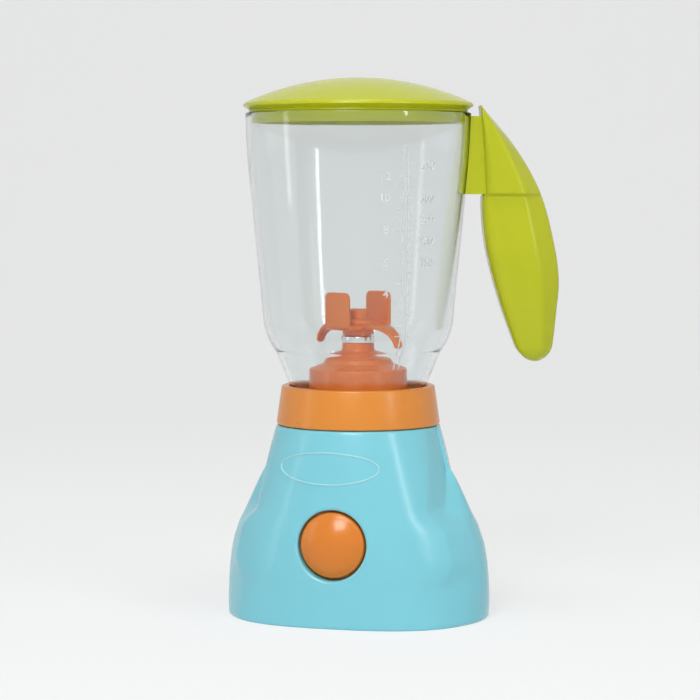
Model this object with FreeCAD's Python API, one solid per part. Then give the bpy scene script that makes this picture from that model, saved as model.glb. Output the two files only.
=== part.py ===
import FreeCAD, Part
import math
import os

# Toy blender: a battery toy with a turquoise base, an orange push button and collar, a clear jar
# with a lime handle and lid, and orange blades that a small motor turns.
# Millimetres. +Z is up, the button faces -Y, the handle points to +X turned a little towards +Y,
# and the origin lies on the drive axis at the underside of the base.

Vector = FreeCAD.Vector
ORIGIN = Vector(0, 0, 0)
UP = Vector(0, 0, 1)

# ---------------------------------------------------------------- clearances
seat_gap = 0.3             # between faces that rest on or stand beside each other
running_gap = 0.05         # radial, shaft in bearing
fixed_gap = 0.02           # radial, part pressed on a shaft or into a hole
sliding_gap = 0.4          # radial, lift-off parts

# ---------------------------------------------------------------- base shell
base_wall = 2.4
base_seat_z = 90.5         # ledge that carries the collar
base_seat_radius = 38.7
base_bottom_half_width = 59.5
base_bottom_half_depth = 47.5
base_bottom_squareness = 2.6
base_side_bulge = 0.5      # share of the side line that is a quarter wave, the rest straight
base_front_bulge = 2.3     # exponent of the front line: steep above, upright below
base_outline_points = 144
base_rows = 26             # of the surface's points between the underside and the seat
neck_bottom_radius = 35.6
neck_top_radius = 34.6
neck_height = 11.3
neck_edge_radius = 2.0
neck_roof = 2.4

# Each side is a band between the front and the rear panel. Above its shoulders it is a shallow
# flute round a petal-shaped haunch, and below them the haunch fills it between two aprons.
side_top_half_width = 13.0       # of the band, at the seat
side_shoulder_half_width = 28.0  # where the flutes are widest
side_low_half_width = 24.5       # between the edges of the aprons
side_foot_half_width = 30.0
side_shoulder_z = 54.0
side_shoulder_length = 11.0
side_foot_z = 17.0               # below it the aprons' edges have faded out
side_foot_length = 14.0
flute_depth_top = 0.8
flute_depth = 2.2                # at the shoulders
flute_slope_width = 12.0         # from the panel's edge to the flute's floor
apron_proud = 3.2                # how far the aprons' edges stand out of the body
apron_swell = 8.0                # distance over which an apron rises to its edge
haunch_apex_z = 71.5
haunch_proud = 7.2
haunch_foot_proud = 3.0
haunch_widest = 0.5              # share of the haunch's height, from its apex, where it is proudest
haunch_crown = 0.7               # exponent of its rise below the apex
haunch_spread = 0.85             # half width gained per millimetre below the apex

cover_post_x = 46.0
cover_post_y = 17.0
cover_post_radius = 3.6
cover_post_top_z = 58.0

# ---------------------------------------------------------------- screws
screw_shank_radius = 1.15
pilot_radius = screw_shank_radius + fixed_gap
screw_hole_radius = 1.5
screw_head_radius = 2.3
screw_head_top_radius = 1.9
screw_head_height = 1.5
screw_head_space = 0.25    # room round and under a head in its recess
small_screw_length = 8.0

# ---------------------------------------------------------------- bottom cover and batteries
cover_thickness = 2.6
cover_screw_length = 12.0
cell_radius = 7.15
cell_length = 49.5
cell_tip_radius = 2.7
cell_tip_length = 1.0
cell_edge_radius = 0.6
cell_pitch = 15.0
cell_count = 2
battery_bay_y = 23.5       # middle of the battery bay
battery_end_space = 1.6    # room for a contact at each end of a cell
battery_wall = 1.5
door_thickness = 1.6
door_ledge = 2.2
door_ear_length = 9.0
door_ear_width = 12.0
door_ear_floor = 1.0      # under the screw head's recess
door_tab_width = 6.0
door_tab_length = 1.2
door_tab_thickness = 0.8
door_tab_spread = 8.0
door_rib_pitch = 3.0
door_rib_count = 5
door_rib_width = 1.2
door_rib_depth = 0.5
contact_thickness = 0.4
contact_width = 9.0
contact_height = 11.0

# ---------------------------------------------------------------- speaker
speaker_y = -20.0
speaker_radius = 14.2
speaker_depth = 2.2
speaker_magnet_radius = 7.0
speaker_magnet_depth = 3.2
speaker_rim_width = 1.2
speaker_rim_height = 1.0
speaker_ring_wall = 1.4
speaker_ring_height = 3.0
speaker_hole_radius = 1.1
speaker_hole_pitch = 5.0

# ---------------------------------------------------------------- button
button_z = 38.4
button_radius = 15.3
button_hole_gap = 1.0
button_rim_y = -44.3
button_dome_height = 4.2
button_edge_radius = 1.4
button_wall = 1.8
button_travel = 3.0
button_flange_radius = 17.6
button_flange_thickness = 1.4
button_stop_y = -40.4      # inner face of the well that holds the button's flange
button_well_wall = 2.2
button_stem_radius = 2.4
button_floor_depth = 0.6   # of the flat spring seat, below the dome's wall
spring_wire_radius = 0.4
spring_radius = 5.4
spring_turns = 4.0

# ---------------------------------------------------------------- switch board
board_front_y = -27.6
board_thickness = 1.6
board_width = 52.0
board_height = 26.0
board_corner = 2.0
board_post_inset = 3.5      # from the board's ends to its screws
board_post_radius = 2.5
switch_size = 6.0
switch_height = 3.5
switch_tip_radius = 1.7
switch_tip_height = 1.6
chip_radius = 5.0
chip_height = 1.2
chip_x = 12.0
capacitor_radius = 2.5
capacitor_length = 7.0
capacitor_x = -12.0
lamp_radius = 2.5
lamp_rim_radius = 2.9
lamp_rim_height = 1.0
lamp_y = -11.8
lamp_proud = 1.4           # how far the lamp's round end stands out of the base's top

# ---------------------------------------------------------------- drive
shaft_radius = 1.5
gear_module = 0.8
gear_teeth = 36
gear_width = 4.0
gear_bottom_z = 88.2
gear_hub_radius = 5.0
gear_rim = 1.8
gear_dish = 1.4
gear_hub_foot = 1.6
pinion_teeth = 10
pinion_width = 5.0
pinion_hub_height = 1.2
tooth_root_flare = 0.27    # share of a pitch that a tooth is wider at its root than at the pitch line
tooth_tip_taper = 0.23     # the same for how much narrower its tip is
tooth_backlash = 0.12      # taken off each flank's half thickness at the pitch line
mesh_gap = 0.1             # added to the centre distance
frame_thickness = 2.4
frame_bottom_z = 81.6
frame_bearing_radius = 4.2
frame_bearing_height = 2.0
frame_hub_radius = 6.0
frame_arm_width = 8.0
frame_neck_width = 16.0   # between the bearing and the motor's cradle
frame_post_radius = 3.2
frame_post_ring = 22.5
frame_post_angles = (-90, 28, 152)
drive_bush_radius = 4.0
drive_bush_flange_radius = 5.6
drive_bush_flange = 1.2

# ---------------------------------------------------------------- motor
motor_radius = 10.05
motor_flat = 7.6
motor_length = 24.0
motor_boss_radius = 3.0
motor_boss_height = 1.5
motor_shaft_radius = 1.0
motor_cap_length = 2.6
motor_tab_length = 3.0
motor_tab_width = 2.4
motor_tab_thickness = 0.5
motor_tab_spread = 5.0      # from the motor's axis to each tab
motor_tab_inset = 1.0      # from the motor's flat to the tabs
cradle_wall = 1.6
cradle_height = 11.0
retainer_thickness = 2.0
retainer_half_width = 5.0
retainer_post_radius = 2.8
retainer_post_sunk = 0.15   # how far the posts reach into the cradle's wall

# ---------------------------------------------------------------- drive couplings
coupling_teeth = 6
knob_tip_radius = 6.3
knob_root_radius = 4.7
knob_height = 9.2
knob_dome = 1.2
knob_root_share = 0.52     # share of a pitch that a tooth takes at its root and at its tip
knob_tip_share = 0.34
cup_share_gap = 0.12
cup_gap = 0.35
cup_wall = 1.7
cup_bottom_z = 104.8
cup_roof = 3.8
cup_hub_radius = 3.5

# ---------------------------------------------------------------- collar
collar_height = 18.2
collar_bottom_radius = 38.8
collar_top_radius = 36.2
collar_edge_radius = 0.9
collar_web_thickness = 2.2
collar_web_inner_radius = 15.2
collar_lip = 1.3           # height of the lip above the snap groove
snap_depth = 0.5
snap_height = 0.8

# ---------------------------------------------------------------- blade seat
seat_flange_radius = 32.3
seat_flange = 1.4
seat_wall = 2.0
seat_step_radius = 23.3
seat_step_z = 116.8
seat_upper_radius = 17.6
seat_upper_z = 121.0
seat_neck_radius = 7.5
seat_neck_foot_z = 124.6
seat_neck_top_z = 128.6
seat_draft = 0.2
seat_step_bevel = 0.8
seat_post_ring = 18.4
seat_post_radius = 2.3
seat_post_count = 3
seat_tube_wall = 2.0
seat_tube_bottom_z = 118.4
bush_wall = 2.6
bearing_cap_radius = 7.9
bearing_cap_height = 3.6
bearing_cap_edge = 0.6

# ---------------------------------------------------------------- blades
shaft_in_hub = 9.0         # how far the blade shaft enters the hub
hub_radius = 7.4
hub_top_z = 140.2
crown_radius = 4.5
crown_top_z = 145.2
crown_edge = 1.0
hub_edge = 0.6              # bevel at the hub's foot
hub_top_edge = 1.0
blade_direction = 29.0     # degrees the blades are turned from the front, clockwise from above
blade_thickness = 2.4
upper_blade_width = 15.4
upper_blade_reach = 14.9
upper_blade_top_z = 153.2
upper_blade_bend = 3.2
upper_blade_corner = 3.0
upper_blade_root_z = 135.2
lower_blade_root_width = 11.0
lower_blade_tip_width = 4.5
lower_blade_reach = 26.6
lower_blade_top_z = 138.4
lower_blade_tip_z = 127.2
lower_blade_flat = 13.0
washer_radius = 3.4
washer_thickness = 0.8

# ---------------------------------------------------------------- jar
handle_turn = 16.0         # degrees the jar is turned on the round base, from +X towards +Y
jar_wall = 2.2
jar_neck_radius = 32.4
jar_neck_top_z = 109.5
jar_cone_radius = 40.0     # where the cone above the neck meets the rounded shoulder
jar_cone_z = 127.8
jar_shoulder_radius = 44.6
jar_shoulder_z = 137.5
jar_shoulder_bulge = 0.55  # of the shoulder's arc outside its chord
jar_rim_radius = 53.2
jar_rim_z = 237.4
jar_upper_radius = 52.0
jar_upper_z = 213.4
jar_rim_bulge = 0.15
lug_thickness = 3.0
lug_out = 9.3              # how far the lug reaches out from the jar's rim
lug_bottom_z = 205.0
lug_top_z = 233.0

# ---------------------------------------------------------------- handle
# Distances called out are measured outwards from the jar's rim.
handle_wall = 2.2
handle_root_top_z = 235.6
handle_root_half_width = 10.0
handle_root_length = 3.6
handle_top_out = 2.4
handle_top_z = 240.6
handle_top_end_out = 4.4
handle_block_bottom_z = 198.6
handle_block_inner_out = 7.3
handle_block_half_width = 13.0
handle_grip_half_width = 12.0
handle_grip_top_half_width = 11.2
handle_tip_half_width = 6.2
handle_tip_out = 31.4
handle_tip_z = 121.8
handle_tip_outer_out = 36.2
handle_tip_outer_z = 124.6
handle_inner_curve = ((7.0, 182.0), (11.0, 164.0), (21.4, 135.6), (27.2, 125.4))
handle_outer_curve = ((39.8, 143.0), (41.4, 157.5), (38.5, 178.5), (30.6, 204.0), (19.8, 222.1))
handle_grip_screw_out = 27.8
handle_grip_screw_z = 150.0
handle_lug_screw_inset = 3.5
handle_inner_edge = 2.5
handle_edge_radius = 2.5   # along both sides of the block and the grip
handle_widest_z = 172.0
handle_screw_length = 14.0
handle_screw_seat_y = 6.0   # depth of the screw heads in the rear half
handle_boss_radius = 3.0
parting_gap = 0.1

# ---------------------------------------------------------------- lid
lid_radius = 54.2
lid_edge_radius = 2.0
lid_apex_z = 253.8
lid_shoulder_radius = 52.6
lid_shoulder_z = 242.4
lid_wall = 2.0
lid_skirt_height = 5.2
lid_skirt_wall = 1.8
lid_skirt_gap = 0.6        # to the jar's inner wall at the rim
lid_skirt_draft = 0.4

# ---------------------------------------------------------------- tools for outlines and solids


class Outline:
    """A closed outline in the XZ plane, drawn edge by edge from its first point."""

    def __init__(self, x, z):
        self.first = Vector(x, 0, z)
        self.last = self.first
        self.edges = []

    def line(self, x, z):
        end = Vector(x, 0, z)
        self.edges.append(Part.makeLine(self.last, end))
        self.last = end
        return self

    def arc(self, via_x, via_z, x, z):
        end = Vector(x, 0, z)
        self.edges.append(Part.Arc(self.last, Vector(via_x, 0, via_z), end).toShape())
        self.last = end
        return self

    def curve(self, points):
        """A smooth curve from the last point through the given ones."""
        through = [self.last] + [Vector(x, 0, z) for x, z in points]
        spline = Part.BSplineCurve()
        spline.interpolate(through)
        self.edges.append(spline.toShape())
        self.last = through[-1]
        return self

    def face(self):
        if self.last.distanceToPoint(self.first) > 1e-6:
            self.edges.append(Part.makeLine(self.last, self.first))
        return Part.Face(Part.Wire(self.edges))

    def turned(self):
        """The outline turned round the Z axis."""
        return self.face().revolve(ORIGIN, UP, 360)

    def slab(self, half_width):
        """The outline given a thickness along Y, half on each side."""
        face = self.face()
        face.translate(Vector(0, -half_width, 0))
        return face.extrude(Vector(0, 2 * half_width, 0))


def turned(points):
    """A turned solid with straight edges between (radius, height) points."""
    outline = Outline(*points[0])
    for point in points[1:]:
        outline.line(*point)
    return outline.turned()


def cylinder(radius, bottom, top, x=0.0, y=0.0):
    return Part.makeCylinder(radius, top - bottom, Vector(x, y, bottom), UP)


def tube(outer, inner, bottom, top, x=0.0, y=0.0):
    return cylinder(outer, bottom, top, x, y).cut(cylinder(inner, bottom, top, x, y))


def rod_along_y(radius, front, back, x, z):
    return Part.makeCylinder(radius, back - front, Vector(x, front, z), Vector(0, 1, 0))


def block(x_range, y_range, z_range):
    size = [high - low for low, high in (x_range, y_range, z_range)]
    return Part.makeBox(*size, Vector(x_range[0], y_range[0], z_range[0]))


def rounded_block(x_range, y_range, z_range, radius):
    """A block with its upright edges rounded."""
    body = block(x_range, y_range, z_range)
    upright = [edge for edge in body.Edges if abs(edge.tangentAt(edge.FirstParameter).z) > 0.9]
    return body.makeFillet(radius, upright)


def on_ring(radius, degrees):
    angle = math.radians(degrees)
    return radius * math.cos(angle), radius * math.sin(angle)


def joined(shapes):
    return shapes[0].multiFuse(shapes[1:]).removeSplitter()


def without(shape, tools):
    for tool in tools:
        shape = shape.cut(tool)
    return shape


def extruded_polygon(points, bottom, top):
    corners = [Vector(x, y, bottom) for x, y in points]
    return Part.Face(Part.makePolygon(corners + corners[:1])).extrude(Vector(0, 0, top - bottom))


def toothed_points(count, root_radius, tip_radius, root_share, tip_share):
    """Corners of a toothed outline. The shares are the parts of a pitch that a tooth takes."""
    pitch = 360.0 / count
    points = []
    for tooth in range(count):
        middle = tooth * pitch
        points.append(on_ring(root_radius, middle - root_share * pitch / 2))
        points.append(on_ring(tip_radius, middle - tip_share * pitch / 2))
        points.append(on_ring(tip_radius, middle + tip_share * pitch / 2))
        points.append(on_ring(root_radius, middle + root_share * pitch / 2))
    return points


def gear_teeth_solid(teeth, bottom, width):
    """A spur gear without its bore, with straight-flanked teeth of the shared module."""
    pitch_radius = gear_module * teeth / 2
    tip_radius = pitch_radius + gear_module
    root_radius = pitch_radius - 1.2 * gear_module
    pitch_length = math.pi * gear_module
    at_pitch = 0.5 - 2 * tooth_backlash / pitch_length
    points = toothed_points(teeth, root_radius, tip_radius,
                            at_pitch + tooth_root_flare, at_pitch - tooth_tip_taper)
    return extruded_polygon(points, bottom, bottom + width)


def screw(position, direction, length):
    """A pan-head screw. The position is the seat of its head and the direction its shank's."""
    head = Part.makeCone(screw_head_radius, screw_head_top_radius, screw_head_height, position, -direction)
    shank = Part.makeCylinder(screw_shank_radius, length, position, direction)
    return head.fuse(shank).removeSplitter()


def export(name, shape):
    shape.exportStep("parts/" + name + ".step")


# ---------------------------------------------------------------- base shell form


def base_half_width(z):
    drop = 1 - z / base_seat_z
    line = (1 - base_side_bulge) * drop + base_side_bulge * math.sin(math.pi / 2 * drop)
    return base_seat_radius + (base_bottom_half_width - base_seat_radius) * line


def base_half_depth(z):
    drop = 1 - z / base_seat_z
    line = 1 - (1 - drop) ** base_front_bulge
    return base_seat_radius + (base_bottom_half_depth - base_seat_radius) * line


def smooth_step(value, width):
    """A smooth rise from 0 to 1 while the value goes from nothing to the width."""
    share = min(1.0, max(0.0, value / width))
    return share * share * (3 - 2 * share)


def haunch_height(z):
    """How far the middle of the haunch stands out of the body."""
    drop = (haunch_apex_z - z) / haunch_apex_z
    if drop < haunch_widest:
        return haunch_proud * (drop / haunch_widest) ** haunch_crown
    fall = (drop - haunch_widest) / (1 - haunch_widest)
    return haunch_proud - (haunch_proud - haunch_foot_proud) * fall ** 2


def side_relief(z, across):
    """How far the side stands out of the plain body at a height and a distance from the XZ plane."""
    below = smooth_step(side_shoulder_z - z, side_shoulder_length)
    edged = smooth_step(z - side_foot_z, side_foot_length)
    spread = (base_seat_z - max(z, side_shoulder_z)) / (base_seat_z - side_shoulder_z)
    above_half = side_top_half_width + (side_shoulder_half_width - side_top_half_width) * spread
    below_half = side_foot_half_width + (side_low_half_width - side_foot_half_width) * edged
    half_width = above_half + (below_half - above_half) * below
    apron = apron_proud * below * edged
    inside = half_width - across
    if inside < 0:
        return apron * math.exp(inside / apron_swell)
    flute = (flute_depth_top + (flute_depth - flute_depth_top) * spread) * (1 - below)
    floor = apron - flute * math.sin(math.pi / 2 * min(1.0, inside / flute_slope_width))
    petal_half = min(half_width, haunch_spread * (haunch_apex_z - z))
    if across >= petal_half:
        return floor
    petal = math.cos(math.pi / 2 * across / petal_half) ** 2
    return floor + (haunch_height(z) - floor) * petal


def base_point(degrees, z):
    """A point of the base's outline: a squircle with the relief of its two sides."""
    angle = math.radians(degrees)
    power = 2 + (base_bottom_squareness - 2) * (1 - z / base_seat_z)
    radius = (abs(math.cos(angle) / base_half_width(z)) ** power
              + abs(math.sin(angle) / base_half_depth(z)) ** power) ** (-1 / power)
    radius += side_relief(z, abs(radius * math.sin(angle)))
    return radius * math.cos(angle), radius * math.sin(angle)


def base_row(z, inset, height):
    """Points round the base's outline at a height, moved inwards by the inset."""
    points = []
    for step in range(base_outline_points):
        degrees = 360.0 * step / base_outline_points
        x, y = base_point(degrees, z)
        ahead = base_point(degrees + 0.5, z)
        behind = base_point(degrees - 0.5, z)
        along = Vector(ahead[0] - behind[0], ahead[1] - behind[1], 0).normalize()
        points.append(Vector(x - inset * along.y, y + inset * along.x, height))
    return points


def base_section(z, inset):
    """The base's outline at a height as a flat face at the height 0."""
    curve = Part.BSplineCurve()
    knots = list(range(base_outline_points + 1))
    curve.buildFromPolesMultsKnots(base_row(z, inset, 0), [1] * len(knots), knots, True, 3)
    return Part.Face(Part.Wire(curve.toShape()))


def base_body(inset):
    """The base without its neck: one smooth surface round it, closed flat below and above."""
    heights = [base_seat_z * row / base_rows for row in range(base_rows)]
    rows = [base_row(z, inset, z) for z in heights]
    rows.append(base_row(base_seat_z, inset, base_seat_z - inset))
    around = list(range(base_outline_points + 1))
    upward = list(range(len(rows) - 2))
    ends = [4] + [1] * (len(upward) - 2) + [4]
    surface = Part.BSplineSurface()
    surface.buildFromPolesMultsKnots([list(column) for column in zip(*rows)], [1] * len(around), ends,
                                     around, upward, True, False, 3, 3)
    side = surface.toShape()
    rims = [Part.Face(Part.Wire(edge)) for edge in side.Edges if edge.Closed]
    shell = Part.makeShell([side] + rims)
    shell.sewShape()
    return Part.makeSolid(shell)


def button_axis_rod(radius, front, back):
    return rod_along_y(radius, front, back, 0, button_z)


def cover_post_places():
    for x in (-cover_post_x, cover_post_x):
        for y in (-cover_post_y, cover_post_y):
            yield x, y


def frame_post_places():
    for degrees in frame_post_angles:
        yield on_ring(frame_post_ring, degrees)


neck_top_z = base_seat_z + neck_height
roof_under_z = neck_top_z - neck_roof
frame_top_z = frame_bottom_z + frame_thickness


def base_shell():
    neck = Outline(0, base_seat_z - base_wall)
    neck.line(neck_bottom_radius, base_seat_z - base_wall).line(neck_bottom_radius, base_seat_z)
    neck.line(neck_top_radius, neck_top_z - neck_edge_radius)
    bend = neck_edge_radius * (1 - math.sqrt(0.5))
    neck.arc(neck_top_radius - bend, neck_top_z - bend,
             neck_top_radius - neck_edge_radius, neck_top_z)
    neck.line(0, neck_top_z)
    shell = base_body(0).fuse(neck.turned())
    shell = shell.cut(base_body(base_wall))
    shell = shell.cut(turned([(0, base_seat_z - 2 * base_wall),
                              (neck_bottom_radius - base_wall, base_seat_z - 2 * base_wall),
                              (neck_bottom_radius - base_wall, base_seat_z),
                              (neck_top_radius - base_wall, roof_under_z),
                              (0, roof_under_z)]))
    in_wall = base_body(base_wall / 2)
    posts = [cylinder(cover_post_radius, cover_thickness, cover_post_top_z, x, y)
             for x, y in cover_post_places()]
    posts += [rod_along_y(board_post_radius, -base_bottom_half_depth, board_front_y, x, button_z)
              for x in (-board_post_x, board_post_x)]
    well_radius = button_flange_radius + sliding_gap + button_well_wall
    posts.append(button_axis_rod(well_radius, -base_bottom_half_depth, button_stop_y))
    shell = shell.multiFuse([post.common(in_wall) for post in posts])
    shell = shell.multiFuse([cylinder(frame_post_radius, frame_top_z, roof_under_z + neck_roof / 2, x, y)
                             for x, y in frame_post_places()])
    holes = [button_axis_rod(button_radius + button_hole_gap, -2 * base_bottom_half_depth, button_stop_y),
             cylinder(drive_bush_radius + fixed_gap, roof_under_z - 1, neck_top_z + 1),
             cylinder(lamp_radius + seat_gap / 2, roof_under_z - 1, neck_top_z + 1, 0, lamp_y)]
    holes += [cylinder(pilot_radius, cover_thickness - 1, cover_thickness + cover_screw_length, x, y)
              for x, y in cover_post_places()]
    holes += [cylinder(pilot_radius, frame_top_z - 1, frame_top_z + small_screw_length, x, y)
              for x, y in frame_post_places()]
    holes += [rod_along_y(pilot_radius, board_front_y - small_screw_length, board_front_y + 1, x, button_z)
              for x in (-board_post_x, board_post_x)]
    return without(shell, holes)


# ---------------------------------------------------------------- bottom cover, battery bay, speaker

bay_half_length = cell_length / 2 + battery_end_space
bay_half_width = cell_pitch * cell_count / 2 + seat_gap
cell_z = door_thickness + seat_gap + cell_radius + seat_gap
bay_top_z = cell_z + cell_radius + seat_gap
ear_x = bay_half_length + door_ledge + door_ear_length - door_ear_width / 2
ear_thickness = screw_head_space + screw_head_height + door_ear_floor
ear_pad_top_z = ear_thickness + seat_gap + battery_wall


def bay_outline(grow, bottom, top):
    return block((-bay_half_length - grow, bay_half_length + grow),
                 (battery_bay_y - bay_half_width - grow, battery_bay_y + bay_half_width + grow),
                 (bottom, top))


def door_plate(grow, bottom, top):
    return rounded_block((-bay_half_length - door_ledge - grow, bay_half_length + door_ledge + grow),
                         (battery_bay_y - bay_half_width - door_ledge - grow,
                          battery_bay_y + bay_half_width + door_ledge + grow),
                         (bottom, top), door_ledge)


def door_ear(grow, bottom, top):
    """The tongue of the door that its screw goes through."""
    half = door_ear_width / 2 + grow
    return rounded_block((bay_half_length, ear_x + half), (battery_bay_y - half, battery_bay_y + half),
                         (bottom, top), door_ear_width / 3)


def door_tabs(grow):
    """Tabs at the end away from the screw, which hook behind the cover."""
    edge = -bay_half_length - door_ledge
    tabs = []
    for side in (-1, 1):
        y = battery_bay_y + side * door_tab_spread
        tabs.append(block((edge - door_tab_length - grow, edge + 1),
                          (y - door_tab_width / 2 - grow, y + door_tab_width / 2 + grow),
                          (door_thickness - door_tab_thickness - grow, door_thickness + grow)))
    return tabs


def speaker_hole_places():
    yield 0.0, speaker_y
    for ring in (1, 2):
        for step in range(6 * ring):
            x, y = on_ring(ring * speaker_hole_pitch, 60 * step / ring)
            yield x, speaker_y + y


def bottom_cover():
    plate = base_section(cover_thickness, base_wall + seat_gap).extrude(UP * cover_thickness)
    ear_post = cylinder(cover_post_radius, cover_thickness / 2, ear_thickness + small_screw_length,
                        ear_x, battery_bay_y)
    ear_pad = door_ear(battery_wall, cover_thickness / 2, ear_pad_top_z)
    ring = tube(speaker_radius + seat_gap + speaker_ring_wall, speaker_radius + seat_gap,
                cover_thickness / 2, cover_thickness + speaker_ring_height, 0, speaker_y)
    cover = plate.multiFuse([bay_outline(battery_wall, cover_thickness / 2, bay_top_z + battery_wall),
                             ear_post, ear_pad, ring])
    cuts = [bay_outline(0, -1, bay_top_z),
            door_plate(seat_gap, -1, door_thickness + seat_gap),
            door_ear(seat_gap, -1, ear_thickness + seat_gap),
            cylinder(pilot_radius, 0, ear_thickness + small_screw_length - 1, ear_x, battery_bay_y)]
    cuts += door_tabs(seat_gap)
    for x, y in cover_post_places():
        cuts.append(cylinder(screw_hole_radius, -1, cover_thickness + 1, x, y))
        cuts.append(cylinder(screw_head_radius + screw_head_space, -1,
                             screw_head_height + screw_head_space, x, y))
    cuts += [cylinder(speaker_hole_radius, -1, cover_thickness + 1, x, y)
             for x, y in speaker_hole_places()]
    return without(cover, cuts)


def battery_door():
    door = door_plate(0, 0, door_thickness).multiFuse([door_ear(0, 0, ear_thickness)] + door_tabs(0))
    grooves = []
    for step in range(door_rib_count):
        y = battery_bay_y + (step - (door_rib_count - 1) / 2) * door_rib_pitch
        grooves.append(block((-bay_half_length / 2, bay_half_length / 2),
                             (y - door_rib_width / 2, y + door_rib_width / 2), (-1, door_rib_depth)))
    hole = cylinder(screw_hole_radius, -1, ear_thickness + 1, ear_x, battery_bay_y)
    recess = cylinder(screw_head_radius + screw_head_space, -1, screw_head_height + screw_head_space,
                      ear_x, battery_bay_y)
    return without(door, grooves + [hole, recess])


def battery_cells():
    cells = []
    for index in range(cell_count):
        y = battery_bay_y + (index - (cell_count - 1) / 2) * cell_pitch
        facing = 1 if index % 2 else -1
        start = Vector(-facing * (cell_length - cell_tip_length) / 2, y, cell_z)
        along = Vector(facing, 0, 0)
        can = Part.makeCylinder(cell_radius, cell_length - cell_tip_length, start, along)
        can = can.makeFillet(cell_edge_radius, [edge for edge in can.Edges if edge.Closed])
        tip = Part.makeCylinder(cell_tip_radius, cell_length, start, along)
        cells.append(can.fuse(tip))
    return Part.makeCompound(cells)


def battery_contacts():
    """Strips at both ends of each cell: an upright plate with a tongue bowed towards the cell."""
    strips = []
    for index in range(cell_count):
        facing = 1 if index % 2 else -1
        y = battery_bay_y + (index - (cell_count - 1) / 2) * cell_pitch
        for side in (-1, 1):
            cell_end = (cell_length - cell_tip_length) / 2 + (cell_tip_length if side == facing else 0)
            wall = bay_half_length - contact_thickness
            low = cell_z - contact_height / 2
            high = cell_z + contact_height / 2
            strip = Outline(side * bay_half_length, low).line(side * bay_half_length, high)
            strip.line(side * wall, high)
            strip.arc(side * (cell_end + seat_gap), cell_z, side * wall, low)
            body = strip.slab(contact_width / 2)
            body.translate(Vector(0, y, 0))
            strips.append(body)
    return Part.makeCompound(strips)


def speaker():
    """A shallow cone with its rim down on the grille, and the magnet behind it."""
    bottom = cover_thickness
    back = bottom + speaker_depth
    cone_edge = speaker_radius - 2 * speaker_rim_width
    basket = turned([(0, bottom + speaker_rim_height), (cone_edge, bottom + speaker_rim_height / 2),
                     (speaker_radius - speaker_rim_width, bottom), (speaker_radius, bottom),
                     (speaker_radius, bottom + speaker_rim_height),
                     (speaker_magnet_radius + speaker_rim_width, back), (speaker_magnet_radius, back),
                     (speaker_magnet_radius, back + speaker_magnet_depth),
                     (0, back + speaker_magnet_depth)])
    basket.translate(Vector(0, speaker_y, 0))
    return basket


def cover_screws():
    seat = screw_head_height + screw_head_space
    return Part.makeCompound([screw(Vector(x, y, seat), UP, cover_screw_length - 1)
                              for x, y in cover_post_places()])


def door_screw():
    seat = screw_head_height + screw_head_space
    return screw(Vector(ear_x, battery_bay_y, seat), UP, small_screw_length - 1)


# ---------------------------------------------------------------- button and switch board


board_post_x = board_width / 2 - board_post_inset
button_floor = button_wall + button_floor_depth - button_dome_height
switch_tip_y = board_front_y - switch_height - switch_tip_height
stem_end_y = switch_tip_y - button_travel - seat_gap


def main_button():
    """A domed cap with a skirt, a flange that stops it in its well, and a stem for the switch."""
    front = -button_dome_height
    flange_front = button_stop_y - button_rim_y + seat_gap
    flange_back = flange_front + button_flange_thickness
    inside = button_radius - button_wall
    bend = button_edge_radius * (1 - math.sqrt(0.5))
    shoulder_radius = button_radius - button_edge_radius
    cap = Outline(0, front)
    cap.arc(shoulder_radius * 0.55, front * 0.72, shoulder_radius, 0)
    cap.arc(button_radius - bend, bend, button_radius, button_edge_radius)
    cap.line(button_radius, flange_front).line(button_flange_radius, flange_front)
    cap.line(button_flange_radius, flange_back).line(inside, flange_back)
    cap.line(inside, button_edge_radius)
    cap.line(spring_radius + 2 * spring_wire_radius, button_floor)
    cap.line(button_stem_radius, button_floor)
    cap.line(button_stem_radius, stem_end_y - button_rim_y)
    cap.line(0, stem_end_y - button_rim_y)
    body = cap.turned()
    body.rotate(ORIGIN, Vector(1, 0, 0), -90)
    body.translate(Vector(0, button_rim_y, button_z))
    return body


def button_spring():
    """The coil between the cap and the switch board, round the stem and the switch."""
    front = button_rim_y + button_floor + seat_gap + spring_wire_radius
    back = board_front_y - seat_gap - spring_wire_radius
    helix = Part.makeLongHelix((back - front) / spring_turns, back - front, spring_radius)
    start = Vector(spring_radius, 0, 0)
    section = Part.Wire(Part.makeCircle(spring_wire_radius, start, Vector(0, 1, 0)))
    coil = Part.Wire(helix.Edges).makePipeShell([section], True, True)
    coil.rotate(ORIGIN, Vector(1, 0, 0), -90)
    coil.translate(Vector(0, front, button_z))
    return coil


def switch_board():
    board = rounded_block((-board_width / 2, board_width / 2), (-board_height / 2, board_height / 2),
                          (0, board_thickness), board_corner)
    board.rotate(ORIGIN, Vector(1, 0, 0), 90)
    board.translate(Vector(0, board_front_y + board_thickness, button_z))
    holes = [rod_along_y(screw_hole_radius, board_front_y - 1, board_front_y + 4, x, button_z)
             for x in (-board_post_x, board_post_x)]
    return without(board, holes)


def board_screws():
    seat = board_front_y + board_thickness
    return Part.makeCompound([screw(Vector(x, seat, button_z), Vector(0, -1, 0), small_screw_length - 1)
                              for x in (-board_post_x, board_post_x)])


def press_switch():
    half = switch_size / 2
    body = block((-half, half), (board_front_y - switch_height, board_front_y),
                 (button_z - half, button_z + half))
    tip = button_axis_rod(switch_tip_radius, switch_tip_y, board_front_y)
    return body.fuse(tip).removeSplitter()


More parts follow.
